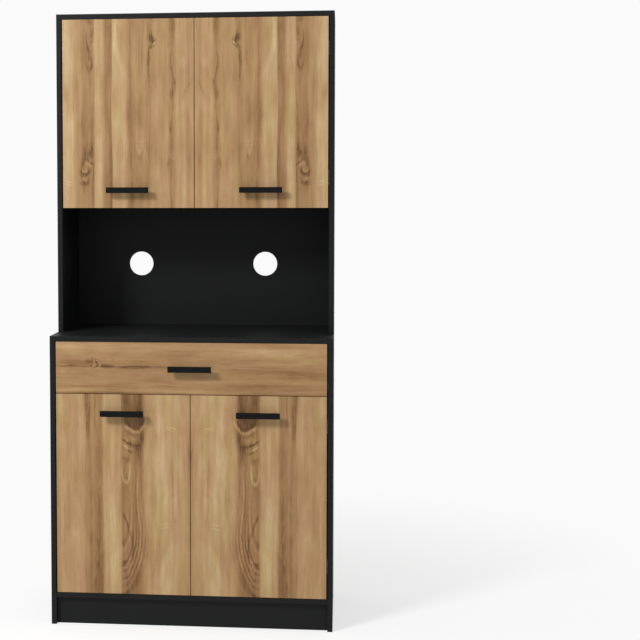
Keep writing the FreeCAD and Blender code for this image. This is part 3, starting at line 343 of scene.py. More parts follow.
UPPER_STREAKS = (
    (268, 66, 11, 15, 0.52, -24), (278, 76, 8, 8, 0.46, 0), (270, 88, 10, 6, 0.5, -14),
    (276, 82, 8, 2.2, -1.1, -28), (88, 62, 3, 6, -0.34, 0), (94, 78, 3, 5, -0.3, 0),
    (316, 122, 3, 26, -0.26, 0), (360, 130, 10, 20, -0.2, 0), (8, 215, 8, 26, 0.22, 0),
    (83, 432, 16, 3.6, 0.62, 44), (76, 436, 10, 9, -0.34, 0), (18, 475, 15, 1.8, -0.3, 0),
    (16, 486, 14, 1.6, -0.3, 0), (331, 395, 12, 1.6, -0.4, 0), (331, 403, 12, 1.6, -0.4, 2),
    (240, 356, 16, 1.8, -0.3, 0), (236, 370, 12, 1.6, -0.22, 0), (244, 470, 8, 60, 0.12, 4),
    (290, 420, 14, 100, -0.1, 0), (232, 250, 16, 60, 0.1, 0), (296, 60, 18, 34, 0.1, 0),
)
UPPER_ARCS = (
    (66, 452, 12, 16, 0.24, 0.44, 0, 0), (66, 450, 18, 24, 0.2, 0.26, 10, 0),
    (64, 452, 7, 9, 0.3, -0.36, 0, 0), (64, 482, 11, 13, 0.28, 0.42, -8, 0),
    (64, 480, 16, 20, 0.2, 0.26, 0, 0), (66, 478, 6, 8, 0.32, -0.34, 0, 0),
    (84, 60, 11, 40, 0.16, 0.18, 0, 0), (80, 110, 10, 50, 0.16, 0.24, 0, 0),
    (80, 98, 5, 40, 0.26, -0.14, 0, 0), (232, 330, 9, 60, 0.2, -0.18, 0, 0),
    (232, 330, 16, 80, 0.14, 0.14, 0, 0), (240, 400, 22, 110, 0.14, 0.12, 0, 0),
)

BASE_BANDS = (
    (0, 0.56), (12, 0.7), (60, 0.71), (84, 0.66), (89, 0.46), (101, 0.48), (106, 0.58), (114, 0.49),
    (134, 0.44), (141, 0.7), (164, 0.77), (191, 0.74), (192.5, 0.42), (214, 0.44), (240, 0.38), (252, 0.43),
    (264, 0.68), (300, 0.8), (326, 0.84), (340, 0.79), (352, 0.83), (372, 0.73), (393, 0.6),
)
BASE_LINES = (
    (1, ((0, 92, 9, 0.52), (40, 94, 8, 0.56), (90, 94, 7, 0.46), (120, 94, 5, 0.32), (160, 95, 3.5, 0.22),
         (220, 98, 4, 0.14), (300, 100, 4, 0.12), (400, 100, 4, 0.18), (500, 101, 5, 0.18),
         (588, 101, 5, 0.12))),
    (1, ((0, 114, 3, 0.36), (40, 114, 3, 0.34), (70, 114, 3, 0.2), (110, 116, 8, 0.1), (160, 118, 14, 0.1),
         (240, 118, 18, 0.12), (340, 118, 20, 0.18), (440, 118, 21, 0.24), (540, 118, 22, 0.24),
         (588, 118, 22, 0.2))),
    (1, ((0, 124, 3, 0), (200, 126, 3, 0.06), (320, 124, 4, 0.16), (400, 124, 4, 0.2), (500, 122, 4, 0.18),
         (560, 112, 4, 0.2), (588, 112, 4, 0.2))),
    (1, ((0, 247, 9, 0.4), (40, 246, 10, 0.4), (76, 252, 12, 0.36), (100, 254, 13, 0.38),
         (132, 252, 12, 0.52), (160, 248, 12, 0.42), (200, 250, 7, 0.28), (260, 252, 4, 0.22),
         (330, 256, 4, 0.16), (400, 254, 4, 0.1), (588, 254, 4, 0))),
    (1, ((0, 232, 5, 0.26), (50, 229, 13, 0.26), (100, 226, 17, 0.36), (140, 226, 17, 0.34),
         (180, 230, 15, 0.28), (220, 235, 6, 0.18), (240, 235, 3, 0.22), (300, 234, 3, 0.3),
         (350, 236, 3, 0.2), (420, 236, 3, 0.1), (588, 236, 3, 0))),
    (1, ((0, 206, 14, 0.3), (30, 206, 12, 0.26), (50, 204, 8, 0.16), (78, 200, 8, 0.24), (98, 203, 5, 0.36),
         (115, 200, 4, 0.2), (140, 200, 4, 0.1), (178, 205, 9, 0.2), (186, 206, 11, 0.5),
         (200, 206, 10, 0.2), (230, 205, 9, 0.18), (246, 206, 8, 0.3), (258, 206, 6, 0.06),
         (300, 218, 3, 0.14), (345, 200, 4, 0), (360, 199, 4, 0.5), (380, 207, 4, 0.6), (410, 217, 4, 0.4),
         (430, 222, 4, 0.1), (588, 222, 4, 0))),
    (1, ((0, 340, 4, 0), (180, 340, 4, 0.1), (240, 342, 4, 0.2), (300, 342, 4, 0.28), (350, 343, 4, 0.2),
         (390, 345, 10, 0.16), (420, 350, 6, 0.1), (588, 350, 6, 0))),
    (1, ((0, 388, 4, 0), (120, 390, 5, 0.1), (170, 392, 6, 0.3), (220, 391, 5, 0.16), (300, 390, 4, 0.05),
         (588, 390, 4, 0.05))),
    (-1, ((0, 262, 3, 0), (150, 262, 3, 0.16), (200, 260, 3, 0.16), (230, 244, 3, 0.1), (260, 240, 3, 0.3),
          (340, 240, 3, 0.3), (390, 246, 3, 0.2), (420, 250, 3, 0), (588, 250, 3, 0))),
    (-1, ((0, 160, 8, 0.02), (260, 160, 8, 0.1), (400, 172, 12, 0.16), (500, 170, 12, 0.1),
          (588, 168, 12, 0.06))),
    (-1, ((0, 20, 4, 0), (300, 20, 3, 0.1), (400, 18, 3, 0.18), (460, 16, 3, 0.1), (588, 16, 3, 0))),
)
BASE_STREAKS = (
    (224, 126, 16, 10, -0.42, -8), (212, 140, 23, 3.4, 0.66, 33), (238, 146, 12, 5, 0.5, 20),
    (208, 152, 18, 3, -0.4, 30), (216, 163, 17, 4, 0.34, 24), (338, 103, 22, 2, -0.34, 0),
    (336, 111, 20, 1.6, -0.24, 0), (320, 379, 18, 2, -0.3, 0), (322, 390, 16, 1.6, -0.26, 0),
    (310, 240, 20, 100, -0.12, 0), (300, 480, 40, 80, 0.12, 0), (318, 500, 10, 60, -0.22, 14),
    (292, 500, 6, 50, 0.14, 14), (202, 492, 12, 6, 0.3, 0), (226, 460, 5, 30, 0.22, 8),
)
BASE_ARCS = (
    (230, 66, 34, 40, 0.16, -0.62, 0, 192), (228, 56, 40, 34, 0.18, 0.36, 0, 192),
    (232, 60, 26, 36, 0.18, 0.3, 0, 192), (205, 214, 14, 46, 0.22, -0.5, 0, 192),
    (205, 212, 18, 55, 0.16, 0.26, 0, 192), (192, 400, 34, 104, 0.09, 0.41, 0, 192),
    (192, 400, 38, 112, 0.07, -0.36, 0, 192), (192, 400, 42, 121, 0.08, 0.46, 0, 192),
    (192, 400, 46, 129, 0.07, -0.38, 0, 192), (192, 400, 50, 138, 0.08, 0.48, 0, 192),
    (192, 400, 54.5, 147, 0.06, -0.38, 0, 192), (192, 400, 59, 156, 0.07, 0.43, 0, 192),
    (192, 400, 64, 165, 0.06, -0.31, 0, 192), (192, 400, 69, 174, 0.07, 0.36, 0, 192),
    (192, 400, 80, 186, 0.06, 0.2, 0, 192), (192, 330, 24, 110, 0.12, 0.3, 0, 192),
    (192, 330, 30, 130, 0.1, -0.26, 0, 192),
)

DRAWER_BANDS = (
    (0, 0.54), (10, 0.66), (34, 0.62), (56, 0.54), (72, 0.47), (75.5, 0.51), (92, 0.47), (112, 0.53),
    (132, 0.49), (142, 0.56), (150.5, 0.4),
)
DRAWER_STREAKS = (
    (72, 225, 5, 110, 0.52, 0), (70, 150, 7, 20, 0.5, 0), (62, 60, 16, 70, 0.26, 0),
    (71, 60, 4, 90, 0.34, 0), (56, 104, 12, 14, 0.24, 0), (60, 126, 12, 14, 0.22, 0),
    (94, 50, 2.5, 60, 0.24, 0), (130, 90, 3, 100, 0.24, 0), (112, 290, 3, 90, 0.18, -2),
    (106, 310, 12, 60, 0.1, 0), (16, 250, 5, 60, 0.12, 4), (40, 190, 14, 30, 0.1, 0),
    (24, 50, 18, 40, -0.14, 0), (48, 600, 8, 130, 0.12, 0), (32, 560, 16, 130, -0.14, 0),
    (44, 720, 24, 60, -0.14, 0), (96, 720, 14, 80, 0.28, 0), (86, 590, 5, 110, 0.16, 1),
    (122, 620, 4, 120, 0.18, 0), (141, 600, 4, 120, 0.22, 0), (134, 720, 3, 70, 0.16, 0),
    (148, 140, 4, 220, 0.26, 0), (148, 560, 4, 220, 0.24, 0), (14, 640, 4, 120, 0.16, 1),
    (112, 440, 8, 60, -0.14, 0), (60, 520, 4, 90, 0.1, 0), (28, 330, 4, 110, 0.12, 0),
    (45, 300, 4, 80, 0.12, 0), (120, 210, 5, 60, 0.12, 2), (84, 20, 8, 16, -0.14, 0),
    (126, 330, 3, 60, 0.16, 0), (100, 200, 10, 60, 0.05, 0),
)
DRAWER_ARCS = (
    (58, 106, 15, 8, 0.24, 0.34, -18, 0), (58, 106, 15, 13, 0.2, -0.36, -18, 0),
    (60, 110, 17, 17, 0.16, 0.34, -14, 0), (60, 112, 17, 22, 0.13, -0.34, -14, 0),
    (61, 114, 15, 27, 0.12, 0.22, -10, 0), (52, 158, 9, 7, 0.3, -0.16, 0, 0),
    (52, 160, 9, 12, 0.2, 0.14, 0, 0),
)


def oak_fronts():
    """The three prints: tall upper doors, lower doors, and the drawer front with level grain."""
    upper = oak("oak_upper_doors", (OUTER_EDGE, UPPER_TOP), UPPER_LONG, False, UPPER_BANDS, UPPER_LINES,
                UPPER_STREAKS, UPPER_ARCS, UPPER_STAVES)
    base = oak("oak_base_doors", (OUTER_EDGE, BASE_TOP), BASE_LONG, False, BASE_BANDS, BASE_LINES,
               BASE_STREAKS, BASE_ARCS, BASE_STAVES)
    drawer = oak("oak_drawer", (OUTER_EDGE, DRAWER_TOP), 2 * OUTER_EDGE, True, DRAWER_BANDS, (),
                 DRAWER_STREAKS, DRAWER_ARCS, DRAWER_STAVES)
    return upper, base, drawer


BOARD_GLOSS = 0.15


def lumps(tree, place, size, detail=3.0, rough=0.5):
    """Cloudy noise, 0 to 1, with lumps of so many mm."""
    return add(tree, "TexNoise", {"Vector": place, "Scale": 1 / (size * MM), "Detail": detail,
                                  "Roughness": rough})


def black_board(name, colour="#181919"):
    """Chipboard faced with black melamine paper, its edges closed with smooth black plastic band.

    The pressed pearl grain scatters the highlight into a soft grey sheen; the edge band is smoother.
    """
    material, tree, shader = new_material(name)
    places = add(tree, "TexCoord")
    spot = places.outputs["Object"]
    pearl = lumps(tree, spot, 1.6)
    cloud = lumps(tree, spot, 180, 4.0)
    facing = add(tree, "SeparateXYZ", {0: places.outputs["Normal"]}).outputs["Y"]
    on_edge = add(tree, "Math", {0: facing, 1: -0.5}, operation="LESS_THAN")
    tone = add(tree, "MapRange", {"Value": cloud, "To Min": 0.85, "To Max": 1.15})
    shade = add(tree, "Mix", {0: 1.0, 6: linear(colour), 7: tone}, data_type="RGBA",
                blend_type="MULTIPLY").outputs[2]
    grain = add(tree, "Mix", {0: on_edge, 2: 0.3, 3: 0.08})
    bump = add(tree, "Bump", {"Height": pearl, "Strength": grain, "Distance": 0.12 * MM})
    rough = add(tree, "MapRange", {"Value": cloud, "To Min": 0.46, "To Max": 0.56})
    finish(tree, shader, shade, rough, bump, BOARD_GLOSS)
    return material


def hardboard(name):
    """Thin pressed fibreboard: black paper in front, and the raw brown fibres behind.

    The front is as dull and dark as the boards, the back is fuzzy, brown and flecked.
    """
    material, tree, shader = new_material(name)
    places = add(tree, "TexCoord")
    spot = places.outputs["Object"]
    facing = add(tree, "SeparateXYZ", {0: places.outputs["Normal"]}).outputs["Y"]
    behind = add(tree, "Math", {0: facing, 1: 0.5}, operation="GREATER_THAN")
    fibres = lumps(tree, spot, 2.2, 6.0, 0.7)
    cloud = lumps(tree, spot, 120, 4.0)
    felt = add(tree, "Math", {0: fibres, 1: 0.65}, operation="MULTIPLY")
    felt = add(tree, "Math", {0: cloud, 1: 0.35, 2: felt}, operation="MULTIPLY_ADD")
    brown = add(tree, "ValToRGB", {0: felt})
    fill_ramp(brown, [(0.3, linear("#6a4c31")), (0.5, linear("#846243")), (0.7, linear("#9c7a57"))])
    colour = add(tree, "Mix", {0: behind, 6: linear("#151616"), 7: brown}, data_type="RGBA")
    rough = add(tree, "Mix", {0: behind, 2: 0.52, 3: 0.85})
    bump = add(tree, "Bump", {"Height": fibres, "Strength": 0.3, "Distance": 0.15 * MM})
    finish(tree, shader, colour.outputs[2], rough, bump, BOARD_GLOSS)
    return material


WEAR = 0.06                    # how far the roughness of an even finish varies


def even_finish(name, colour, rough, metal=0.0, grain=0.6, depth=0.03, gloss=0.5):
    """A one-colour finish with a fine even texture: coated or plated metal, nylon or raw board."""
    material, tree, shader = new_material(name)
    spot = add(tree, "TexCoord").outputs["Object"]
    speck = lumps(tree, spot, grain)
    cloud = lumps(tree, spot, 25)
    mixed = add(tree, "Math", {0: speck, 1: cloud}, operation="ADD")
    tone = add(tree, "MapRange", {"Value": mixed, "From Max": 2.0, "To Min": 0.82, "To Max": 1.18})
    shade = add(tree, "Mix", {0: 1.0, 6: linear(colour), 7: tone}, data_type="RGBA", blend_type="MULTIPLY")
    wear_and_shade = add(tree, "MapRange", {"Value": cloud, "To Min": rough - WEAR, "To Max": rough + WEAR})
    bump = add(tree, "Bump", {"Height": speck, "Strength": 0.3, "Distance": depth * MM})
    finish(tree, shader, shade.outputs[2], wear_and_shade, bump, gloss)
    shader.inputs["Metallic"].default_value = metal
    return material


# Fittings: each is worked out about its own axis, set in its place in mm, and joined into one piece

FINE_TURNS = 36
SCREW_TURNS = 24
BEND_STEPS = 7
FLAT_ANGLE = 0.6               # radians; a sharper edge isn't shaded smooth
THREAD_PITCH = 1.6
THREAD_DEPTH = 0.35
THREAD_START = 0.5             # below the head
POINT_LONG = 2.0
WALL_SLOPE, END_SLOPE = 0.35, 0.5


def ring_faces(rings, around, closed=False):
    """Quads between rings of points, one after the other, and from the last to the first when closed."""
    row = np.arange(rings if closed else rings - 1)[:, None] * around
    spot = np.arange(around)
    beside = (spot + 1) % around
    under = (row + around) % (rings * around)
    return np.stack([row + spot, under + spot, under + beside, row + beside], 2).reshape(-1, 4).tolist()


def on_axis(place, outward, across, up, height):
    """Points of a turned shape: two ways across its axis and the height along it, about a place."""
    along = np.array(outward, float)
    first = np.roll(along, 1)
    second = np.cross(along, first)
    return (np.array(place) + across[..., None] * first + up[..., None] * second
            + height[..., None] * along)


def cross_recess(across, up, half_wide, reach, deep):
    """How deep a cross-shaped recess is at each point of a face: straight walls with a little slope."""
    thin = np.minimum(abs(across), abs(up))
    wide = np.maximum(abs(across), abs(up))
    wall = np.clip((half_wide - thin) / WALL_SLOPE + 0.5, 0, 1)
    end = np.clip((reach - wide) / END_SLOPE + 0.5, 0, 1)
    return deep * wall * end


def turned(place, outward, radius, height, recess=None, tail=0.0, closed=False, turns=FINE_TURNS):
    """A profile of radius and height carried round an axis.

    The profile runs from the middle of the face over the rim to the tail, or, when closed, round a ring.
    A recess is sunk where the height is 0 or more. Below the head, where tail is given, a sine that
    winds once round per pitch cuts a thread.
    """
    angle = np.linspace(0, 2 * math.pi, turns, endpoint=False)
    rings = slice(None) if closed else slice(1, -1)
    ring_radius = radius[rings, None] + 0 * angle
    ring_height = height[rings, None] + 0 * angle
    winding = 0.5 + 0.5 * np.sin(angle + 2 * math.pi * ring_height / THREAD_PITCH)
    threaded = (ring_height < -THREAD_START) & (ring_height > -tail)
    ring_radius = ring_radius - THREAD_DEPTH * winding * threaded
    across, up = ring_radius * np.cos(angle), ring_radius * np.sin(angle)
    if recess:
        ring_height = ring_height - cross_recess(across, up, *recess) * (ring_height >= 0)
    points = on_axis(place, outward, across, up, ring_height).reshape(-1, 3)
    count = len(ring_radius)
    faces = ring_faces(count, turns, closed)
    if not closed:
        ends = np.array([height[0] - (recess[2] if recess else 0.0), height[-1]])
        points = np.concatenate([points, on_axis(place, outward, np.zeros(2), np.zeros(2), ends)])
        spot = np.arange(turns)
        beside = (spot + 1) % turns
        last = (count - 1) * turns
        faces += [(count * turns, here, there) for here, there in zip(spot, beside)]
        faces += [(count * turns + 1, last + there, last + here) for here, there in zip(spot, beside)]
    return points, faces


def screw(place, outward, head_radius, head_high, shank_radius, long):
    """A domed head with a cross recess on a threaded shank with a short point."""
    face = np.linspace(0, head_radius, 11)
    dome = head_high * (1 - 0.55 * (face / head_radius) ** 4)
    shank = np.arange(0.0, long - POINT_LONG, THREAD_PITCH / 4)
    radius = np.concatenate([face, [head_radius], shank_radius + 0 * shank, [0.6 * shank_radius, 0.0]])
    height = np.concatenate([dome, [0.0], -shank - 0.01, [0.5 - long, -long]])
    recess = (0.5, 0.5 * head_radius, 0.6 * head_high)
    return turned(place, outward, radius, height, recess, long - POINT_LONG, turns=SCREW_TURNS)


def screws(size, outward, places):
    """Screws of one size at some places."""
    return [screw(place, outward, *size) for place in places]


def cam_lock(place, outward):
    """A cast drum, flush with its board, with a wide cross recess for the screwdriver."""
    face = np.linspace(0, CAM_RADIUS - CAM_CHAMFER, 21)
    radius = np.concatenate([face, [CAM_RADIUS, CAM_RADIUS, 0.0]])
    height = np.concatenate([0 * face, [-0.8 * CAM_CHAMFER, -CAM_DEEP, -CAM_DEEP]])
    return turned(place, outward, radius, height, (1.0, 3.6, 2.0))


def roller(place, wheel_radius):
    """A nylon wheel with rounded shoulders, a sunk web on both faces and a bored hub."""
    rim = wheel_radius - np.array([1.7, 1.4, 0.6, 0.15, 0.0])
    edge = np.array([3.0, 3.5, 3.5, 3.2, 2.6])
    radius = np.concatenate([[1.7, 4.0, 4.3], rim, rim[::-1], [4.3, 4.0, 1.7]])
    height = np.concatenate([[3.5, 3.5, 3.0], edge, -edge[::-1], [-3.0, -3.5, -3.5]])
    return turned(place, (1, 0, 0), radius, height, closed=True)


def bent_strip(corners, bend, thick, wide, middle_z, side):
    """A strip of sheet carried along a level path with square corners, each made a quarter circle.

    At every point of the path, a section with rounded edges is set square to the way ahead.
    """
    corners = np.array(corners, float)
    steps = np.diff(corners, axis=0)
    steps /= np.linalg.norm(steps, axis=1)[:, None]
    turn = np.linspace(0, math.pi / 2, BEND_STEPS)[:, None]
    path = [corners[:1]]
    for corner, before, after in zip(corners[1:-1], steps[:-1], steps[1:]):
        path.append(corner + bend * (after * (1 - np.cos(turn)) - before * (1 - np.sin(turn))))
    path = np.concatenate(path + [corners[-1:]])
    ahead = np.gradient(path, axis=0)
    ahead /= np.linalg.norm(ahead, axis=1)[:, None]
    beside = np.stack([-ahead[:, 1], ahead[:, 0]], 1)
    flat, high, cut = thick / 2, wide / 2, 0.35 * thick
    quarter = np.array([(cut - flat, -high), (flat - cut, -high), (flat, cut - high), (flat, high - cut)])
    loop = np.concatenate([quarter, -quarter])
    level = path[:, None, :] + loop[:, :1] * beside[:, None, :]
    upright = np.broadcast_to(middle_z + loop[:, 1:], level.shape[:2] + (1,))
    points = (np.concatenate([level, upright], 2) * (side, 1, 1)).reshape(-1, 3)
    start = np.arange(len(loop))
    faces = ring_faces(len(path), len(loop)) + [start.tolist(), (len(points) - 1 - start).tolist()]
    if side > 0:
        faces = [face[::-1] for face in faces]
    return points, faces


def piece(name, parts, material, body, node):
    """Join parts, each with its points in mm and its faces, into a piece that stands for a CAD node."""
    points, faces, start = [], [], 0
    for part_points, part_faces in parts:
        points.append(part_points)
        faces += [tuple(int(corner) + start for corner in face) for face in part_faces]
        start += len(part_points)
    mesh = bpy.data.meshes.new(name)
    mesh.from_pydata((np.concatenate(points) * MM).tolist(), [], faces)
    mesh.polygons.foreach_set("use_smooth", np.ones(len(mesh.polygons), bool))
    mesh.set_sharp_from_angle(angle=FLAT_ANGLE)
    mesh.materials.append(material)
    made = bpy.data.objects.new(name, mesh)
    bpy.context.scene.collection.objects.link(made)
    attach(made, body)
    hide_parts(node)


BOTH = ((-1, "left"), (1, "right"))
BACKWARD, DOWNWARD, UPWARD = (0, 1, 0), (0, 0, -1), (0, 0, 1)
INNER = 397.5                  # the sides' inner faces

# head radius and height, shank radius and length
WOOD_SCREW = (3.4, 1.6, 1.8, 11.5)
FLAT_SCREW = (3.4, 0.8, 1.8, 11.5)
SHORT_SCREW = (3.4, 1.6, 1.8, 8.9)
LONG_SCREW = (3.4, 1.6, 1.8, 30.0)
HANDLE_SCREW = (4.0, 2.0, 1.95, 25.0)
HANDLE_HALF = 48.0

# the doors' faces, and the heights of their hinges and handles
HINGE_LEVELS = {"upper": (-55.0, (1315.0, 1694.0)), "base": (-185.0, (186.0, 594.5))}
HANDLE_HEIGHTS = {"upper": 1278.0, "base": 630.5}
DOOR_MIDDLE = 197.75
DOOR_THICK = 15.0
CUP_MIDDLE = 363.5
PIN_ACROSS, PIN_DEPTH = 386.0, 6.5
PLATE_THICK = 2.0
PLATE_DEPTH = 37.0
EYE_RADIUS = np.array([1.55, 2.5, 2.8, 2.8, 2.5, 1.55])
EYE_HEIGHT = np.array([4.0, 4.0, 3.7, -3.7, -4.0, -4.0])
ARM_CORNERS = ((384.2, 6.5), (373.5, 6.5), (373.5, 21.0), (394.5, 21.0), (394.5, 60.0))
ARM_BEND, ARM_THICK, ARM_WIDE = 3.0, 2.0, 8.0


def fit_hinges(nickel, wear_and_shade):
    """Arms with a rolled eye round the pin, and the screws of the plates, cups and handles."""
    arms, plate_screws = [], []
    for level, (face, heights) in HINGE_LEVELS.items():
        for side, spot in BOTH:
            places = [(side * (DOOR_MIDDLE + apart), face + DOOR_THICK, HANDLE_HEIGHTS[level])
                      for apart in (-HANDLE_HALF, HANDLE_HALF)]
            door_screws = screws(HANDLE_SCREW, BACKWARD, places)
            for height in heights:
                pin = (side * PIN_ACROSS, face + PIN_DEPTH, height)
                arms.append(turned(pin, UPWARD, EYE_RADIUS, EYE_HEIGHT, closed=True))
                path = [(across, face + depth) for across, depth in ARM_CORNERS]
                arms.append(bent_strip(path, ARM_BEND, ARM_THICK, ARM_WIDE, height, side))
                places = [(side * (INNER - PLATE_THICK), face + PLATE_DEPTH, height + rise)
                          for rise in (-16, 16)]
                plate_screws += screws(WOOD_SCREW, (-side, 0, 0), places)
                places = [(side * CUP_MIDDLE, face + DOOR_THICK + 1, height + rise)
                          for rise in (-22.5, 22.5)]
                door_screws += screws(WOOD_SCREW, BACKWARD, places)
            piece(f"{level}_door_cross_screws_{spot}", door_screws, nickel, f"{level}_{spot}_door",
                  f"{level}_door_screws_{spot}")
    # the arms take the darker nickel: painted shade, for the shadow behind the doors' gaps
    piece("pressed_hinge_arms", arms, wear_and_shade, "root", "hinge_arms")
    piece("hinge_plate_cross_screws", plate_screws, nickel, "root", "hinge_plate_screws")


# the runners' line; each wheel's place along the cabinet and radius; where the screws' heads sit
RUNNER_Z = 711.7
WHEEL_ACROSS = 391.0
WHEELS = (("cabinet", -153.0, 9.3), ("drawer", 166.0, 7.5))
CHANNEL_ACROSS = 396.3
MEMBER_ACROSS, MEMBER_Z = 379.5, 699.3
DRAWER_SIDE, DRAWER_BACK = 385.0, 174.0
DRAWER_INSIDE, DRAWER_HANDLE_Z = -170.0, 761.75


def fit_drawer(nickel, nylon):
    """Runner wheels, and the screws of the runners, the drawer's back and its handle."""
    channel, member, back = [], [], []
    for side, spot in BOTH:
        places = [(side * CHANNEL_ACROSS, y, RUNNER_Z) for y in (-125.0, 123.0)]
        channel += screws(FLAT_SCREW, (-side, 0, 0), places)
        places = [(side * MEMBER_ACROSS, y, MEMBER_Z) for y in (-128.0, 120.0)]
        member += screws(SHORT_SCREW, DOWNWARD, places)
        places = [(side * DRAWER_SIDE, DRAWER_BACK, z) for z in (735.5, 778.5)]
        back += screws(LONG_SCREW, (side, 0, 0), places)
        for owner, y, wheel_radius in WHEELS:
            wheel = roller((side * WHEEL_ACROSS, y, RUNNER_Z), wheel_radius)
            piece(f"{owner}_nylon_wheel_{spot}", [wheel], nylon, f"{owner}_roller_{spot}_wheel",
                  f"{owner}_roller_{spot}")
    piece("channel_cross_screws", channel, nickel, "root", "cabinet_runner_screws")
    piece("member_cross_screws", member, nickel, "drawer", "drawer_runner_screws")
    piece("drawer_back_cross_screws", back, nickel, "drawer", "drawer_back_screws")
    places = [(x, DRAWER_INSIDE, DRAWER_HANDLE_Z) for x in (-HANDLE_HALF, HANDLE_HALF)]
    handle = screws(HANDLE_SCREW, BACKWARD, places)
    piece("drawer_handle_cross_screws", handle, nickel, "drawer", "drawer_handle_screws")


# cams that lie under a board, and cams in the sides' inner faces: height, and places along the cabinet
CAM_ACROSS = 373.5
CAM_RADIUS, CAM_CHAMFER, CAM_DEEP = 7.3, 0.5, 12.0
BRACKET_SCREWS = ((-12.0, 190.0, 1783.0), (12.0, 190.0, 1783.0))
LEVEL_CAMS = ((80.0, (-135.0, 162.0)), (1227.0, (16.0, 162.0)), (677.5, (-129.0,)))
UPRIGHT_CAMS = ((814.0, (-135.0, 162.0)), (1761.0, (-5.0, 162.0)))


def fit_frame(nickel, zinc):
    """Cam locks in the boards, and the screws of the wall bracket."""
    cams = []
    for side in (-1, 1):
        cams += [cam_lock((side * CAM_ACROSS, y, z), DOWNWARD) for z, places in LEVEL_CAMS for y in places]
        cams += [cam_lock((side * INNER, y, z), (-side, 0, 0)) for z, places in UPRIGHT_CAMS
                 for y in places]
    piece("cross_slotted_cams", cams, zinc, "root", "cam_locks")
    bracket = screws(WOOD_SCREW, DOWNWARD, BRACKET_SCREWS)
    piece("wall_bracket_cross_screws", bracket, nickel, "root", "wall_bracket_screws")


def dress(material, *nodes):
    """Give CAD nodes a material in all their slots."""
    for name in nodes:
        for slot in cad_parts[name].material_slots:
            slot.material = material


def dress_cabinet():
    """Every CAD node's material, and the fittings that take the place of plainer nodes."""
    board = black_board("black_melamine")
    dress(board, "base_side_left", "base_side_right", "hutch_side_left", "hutch_side_right", "worktop",
          "hutch_top", "base_bottom", "hutch_bottom", "plinth", "drawer_rail", "base_shelf", "hutch_shelf")
    dress(hardboard("black_hardboard"), "base_back_panel", "hutch_back_panel", "drawer_bottom")
    dress(black_board("black_drawer_foil", "#1b1c1d"), "drawer_side_left", "drawer_side_right",
          "drawer_back")
    upper, base, drawer = oak_fronts()
    dress(upper, *[f"upper_door_{side}" for side in SIDES])
    dress(base, *[f"base_door_{side}" for side in SIDES])
    dress(drawer, "drawer_front")
    dress(even_finish("black_powder_coat", "#0a0b0b", 0.5, gloss=0.12), "drawer_handle",
          *[f"{level}_handle_{side}" for level in LEVELS for side in SIDES])
    nickel = even_finish("nickel_plate", "#b9b8b4", 0.32, 0.85)
    # A darker, duller nickel for the hinge arms, plates and cups: painted shade, for where they sit in
    # shadow behind the doors' gaps.
    wear_and_shade = even_finish("shade_darkened_nickel_plate", "#a3a29d", 0.4, 0.7)
    zinc = even_finish("cast_zinc", "#9a9a98", 0.45, 1.0)
    nylon = even_finish("white_nylon", "#e2e1dc", 0.45)
    dress(wear_and_shade, "hinge_plates", *[f"{level}_hinge_cups_{side}" for level in LEVELS for side in SIDES])
    dress(nickel, "cam_bolts", "shelf_pins", "back_panel_nails", "wall_bracket")
    dress(even_finish("beech", "#c9a274", 0.6), "dowels", "drawer_dowels")
    dress(even_finish("white_epoxy", "#dcdcd8", 0.4), *[f"{member}_runner_{side}"
          for member in ("cabinet", "drawer") for side in SIDES])
    fit_hinges(nickel, wear_and_shade)
    fit_drawer(nickel, nylon)
    fit_frame(nickel, zinc)


# Studio: a pale floor that runs out into a white world, and one soft lamp

FLOOR_REACH = 30.0             # m, like the fade's start and end
FADE_START = 0.3
FADE_END = 2.1
NEAR_SHARE = 0.45              # how much of the floor is even white under the cabinet
FLOOR_SHADE = 0.576            # how bright the lamp and the world make the paper
WHITE = 0.956
WORLD_LIGHT = 0.39
LAMP_PLACE, LAMP_AIM = (-2.6, -3.4, 3.6), (0, 0, 0.9)
LAMP_SIZE = 1.0
LAMP_POWER = 150


def pale_floor():
    """A round floor: rings of points that lie further apart the further out they are."""
    turns = np.linspace(0, 2 * math.pi, 64, endpoint=False)
    reach = FLOOR_REACH * np.linspace(0, 1, 9)[1:] ** 2
    rings = reach[:, None, None] * np.stack([np.cos(turns), np.sin(turns), 0 * turns], 1)
    points = np.concatenate([[[0.0, 0.0, 0.0]], rings.reshape(-1, 3)])
    count = len(turns)
    faces = [(0, 1 + spot, 1 + (spot + 1) % count) for spot in range(count)]
    faces += [[1 + corner for corner in face] for face in ring_faces(len(reach), count)]
    mesh = bpy.data.meshes.new("floor")
    mesh.from_pydata(points.tolist(), [], faces)
    floor = bpy.data.objects.new("floor", mesh)
    bpy.context.scene.collection.objects.link(floor)
    mesh.materials.append(pale_paper())


def seen_rays(tree):
    """1 for rays that show the background: from the camera, from gloss, and through glass."""
    rays = add(tree, "LightPath")
    seen = add(tree, "Math", {0: rays.outputs["Is Camera Ray"], 1: rays.outputs["Is Glossy Ray"]},
               operation="MAXIMUM")
    return add(tree, "Math", {0: seen, 1: rays.outputs["Is Transmission Ray"]}, operation="MAXIMUM")


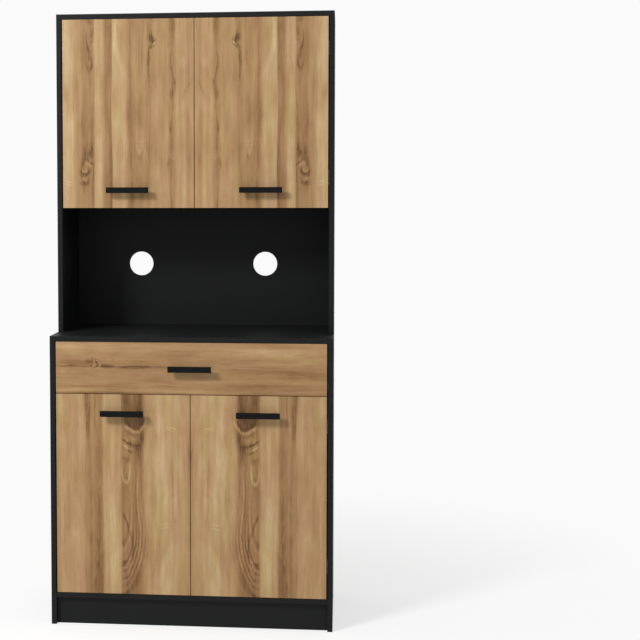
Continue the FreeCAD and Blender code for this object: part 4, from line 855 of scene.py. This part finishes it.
def pale_paper():
    """Matt white paper; where it is seen, a share of its shade, all of it far out, is an even white.

    The glow is such that share times glow, and the rest times the paper's shade, always make that white.
    """
    material, tree, shader = new_material("pale_paper")
    shader.inputs["Base Color"].default_value = linear("#f2f2f2")
    shader.inputs["Roughness"].default_value = 0.9
    shader.inputs["Specular IOR Level"].default_value = 0.1
    spot = add(tree, "TexCoord").outputs["Object"]
    reach = add(tree, "VectorMath", {0: spot}, operation="LENGTH").outputs["Value"]
    share = add(tree, "MapRange", {"Value": reach, "From Min": FADE_START, "From Max": FADE_END,
                                   "To Min": NEAR_SHARE, "To Max": 1.0}, interpolation_type="SMOOTHSTEP")
    lack = add(tree, "Math", {0: WHITE - FLOOR_SHADE, 1: share}, operation="DIVIDE")
    strength = add(tree, "Math", {0: lack, 1: FLOOR_SHADE}, operation="ADD")
    share = add(tree, "Math", {0: share, 1: seen_rays(tree)}, operation="MULTIPLY")
    glow = add(tree, "Emission", {"Color": (1, 1, 1, 1), "Strength": strength})
    mixed = add(tree, "MixShader", {0: share, 1: shader, 2: glow})
    tree.links.new(mixed.outputs[0], tree.nodes["Material Output"].inputs["Surface"])
    return material


def light_studio():
    """A soft lamp at the left in front, and a world that is seen whiter than it shines."""
    world = bpy.data.worlds.new("studio")
    world.use_nodes = True
    tree = world.node_tree
    strength = add(tree, "Mix", {0: seen_rays(tree), 2: WORLD_LIGHT, 3: WHITE})
    tree.nodes["Background"].inputs["Color"].default_value = linear("#ffffff")
    tree.links.new(strength.outputs[0], tree.nodes["Background"].inputs["Strength"])
    bpy.context.scene.world = world
    data = bpy.data.lights.new("window_lamp", "AREA")
    data.shape = "RECTANGLE"
    data.size = data.size_y = LAMP_SIZE
    data.energy = LAMP_POWER
    lamp = bpy.data.objects.new("window_lamp", data)
    lamp.location = LAMP_PLACE
    lamp.rotation_euler = (Vector(LAMP_AIM) - Vector(LAMP_PLACE)).to_track_quat("-Z", "Y").to_euler()
    bpy.context.scene.collection.objects.link(lamp)
    bpy.context.scene.view_settings.view_transform = "Standard"


place_camera()
dress_cabinet()
pale_floor()
light_studio()
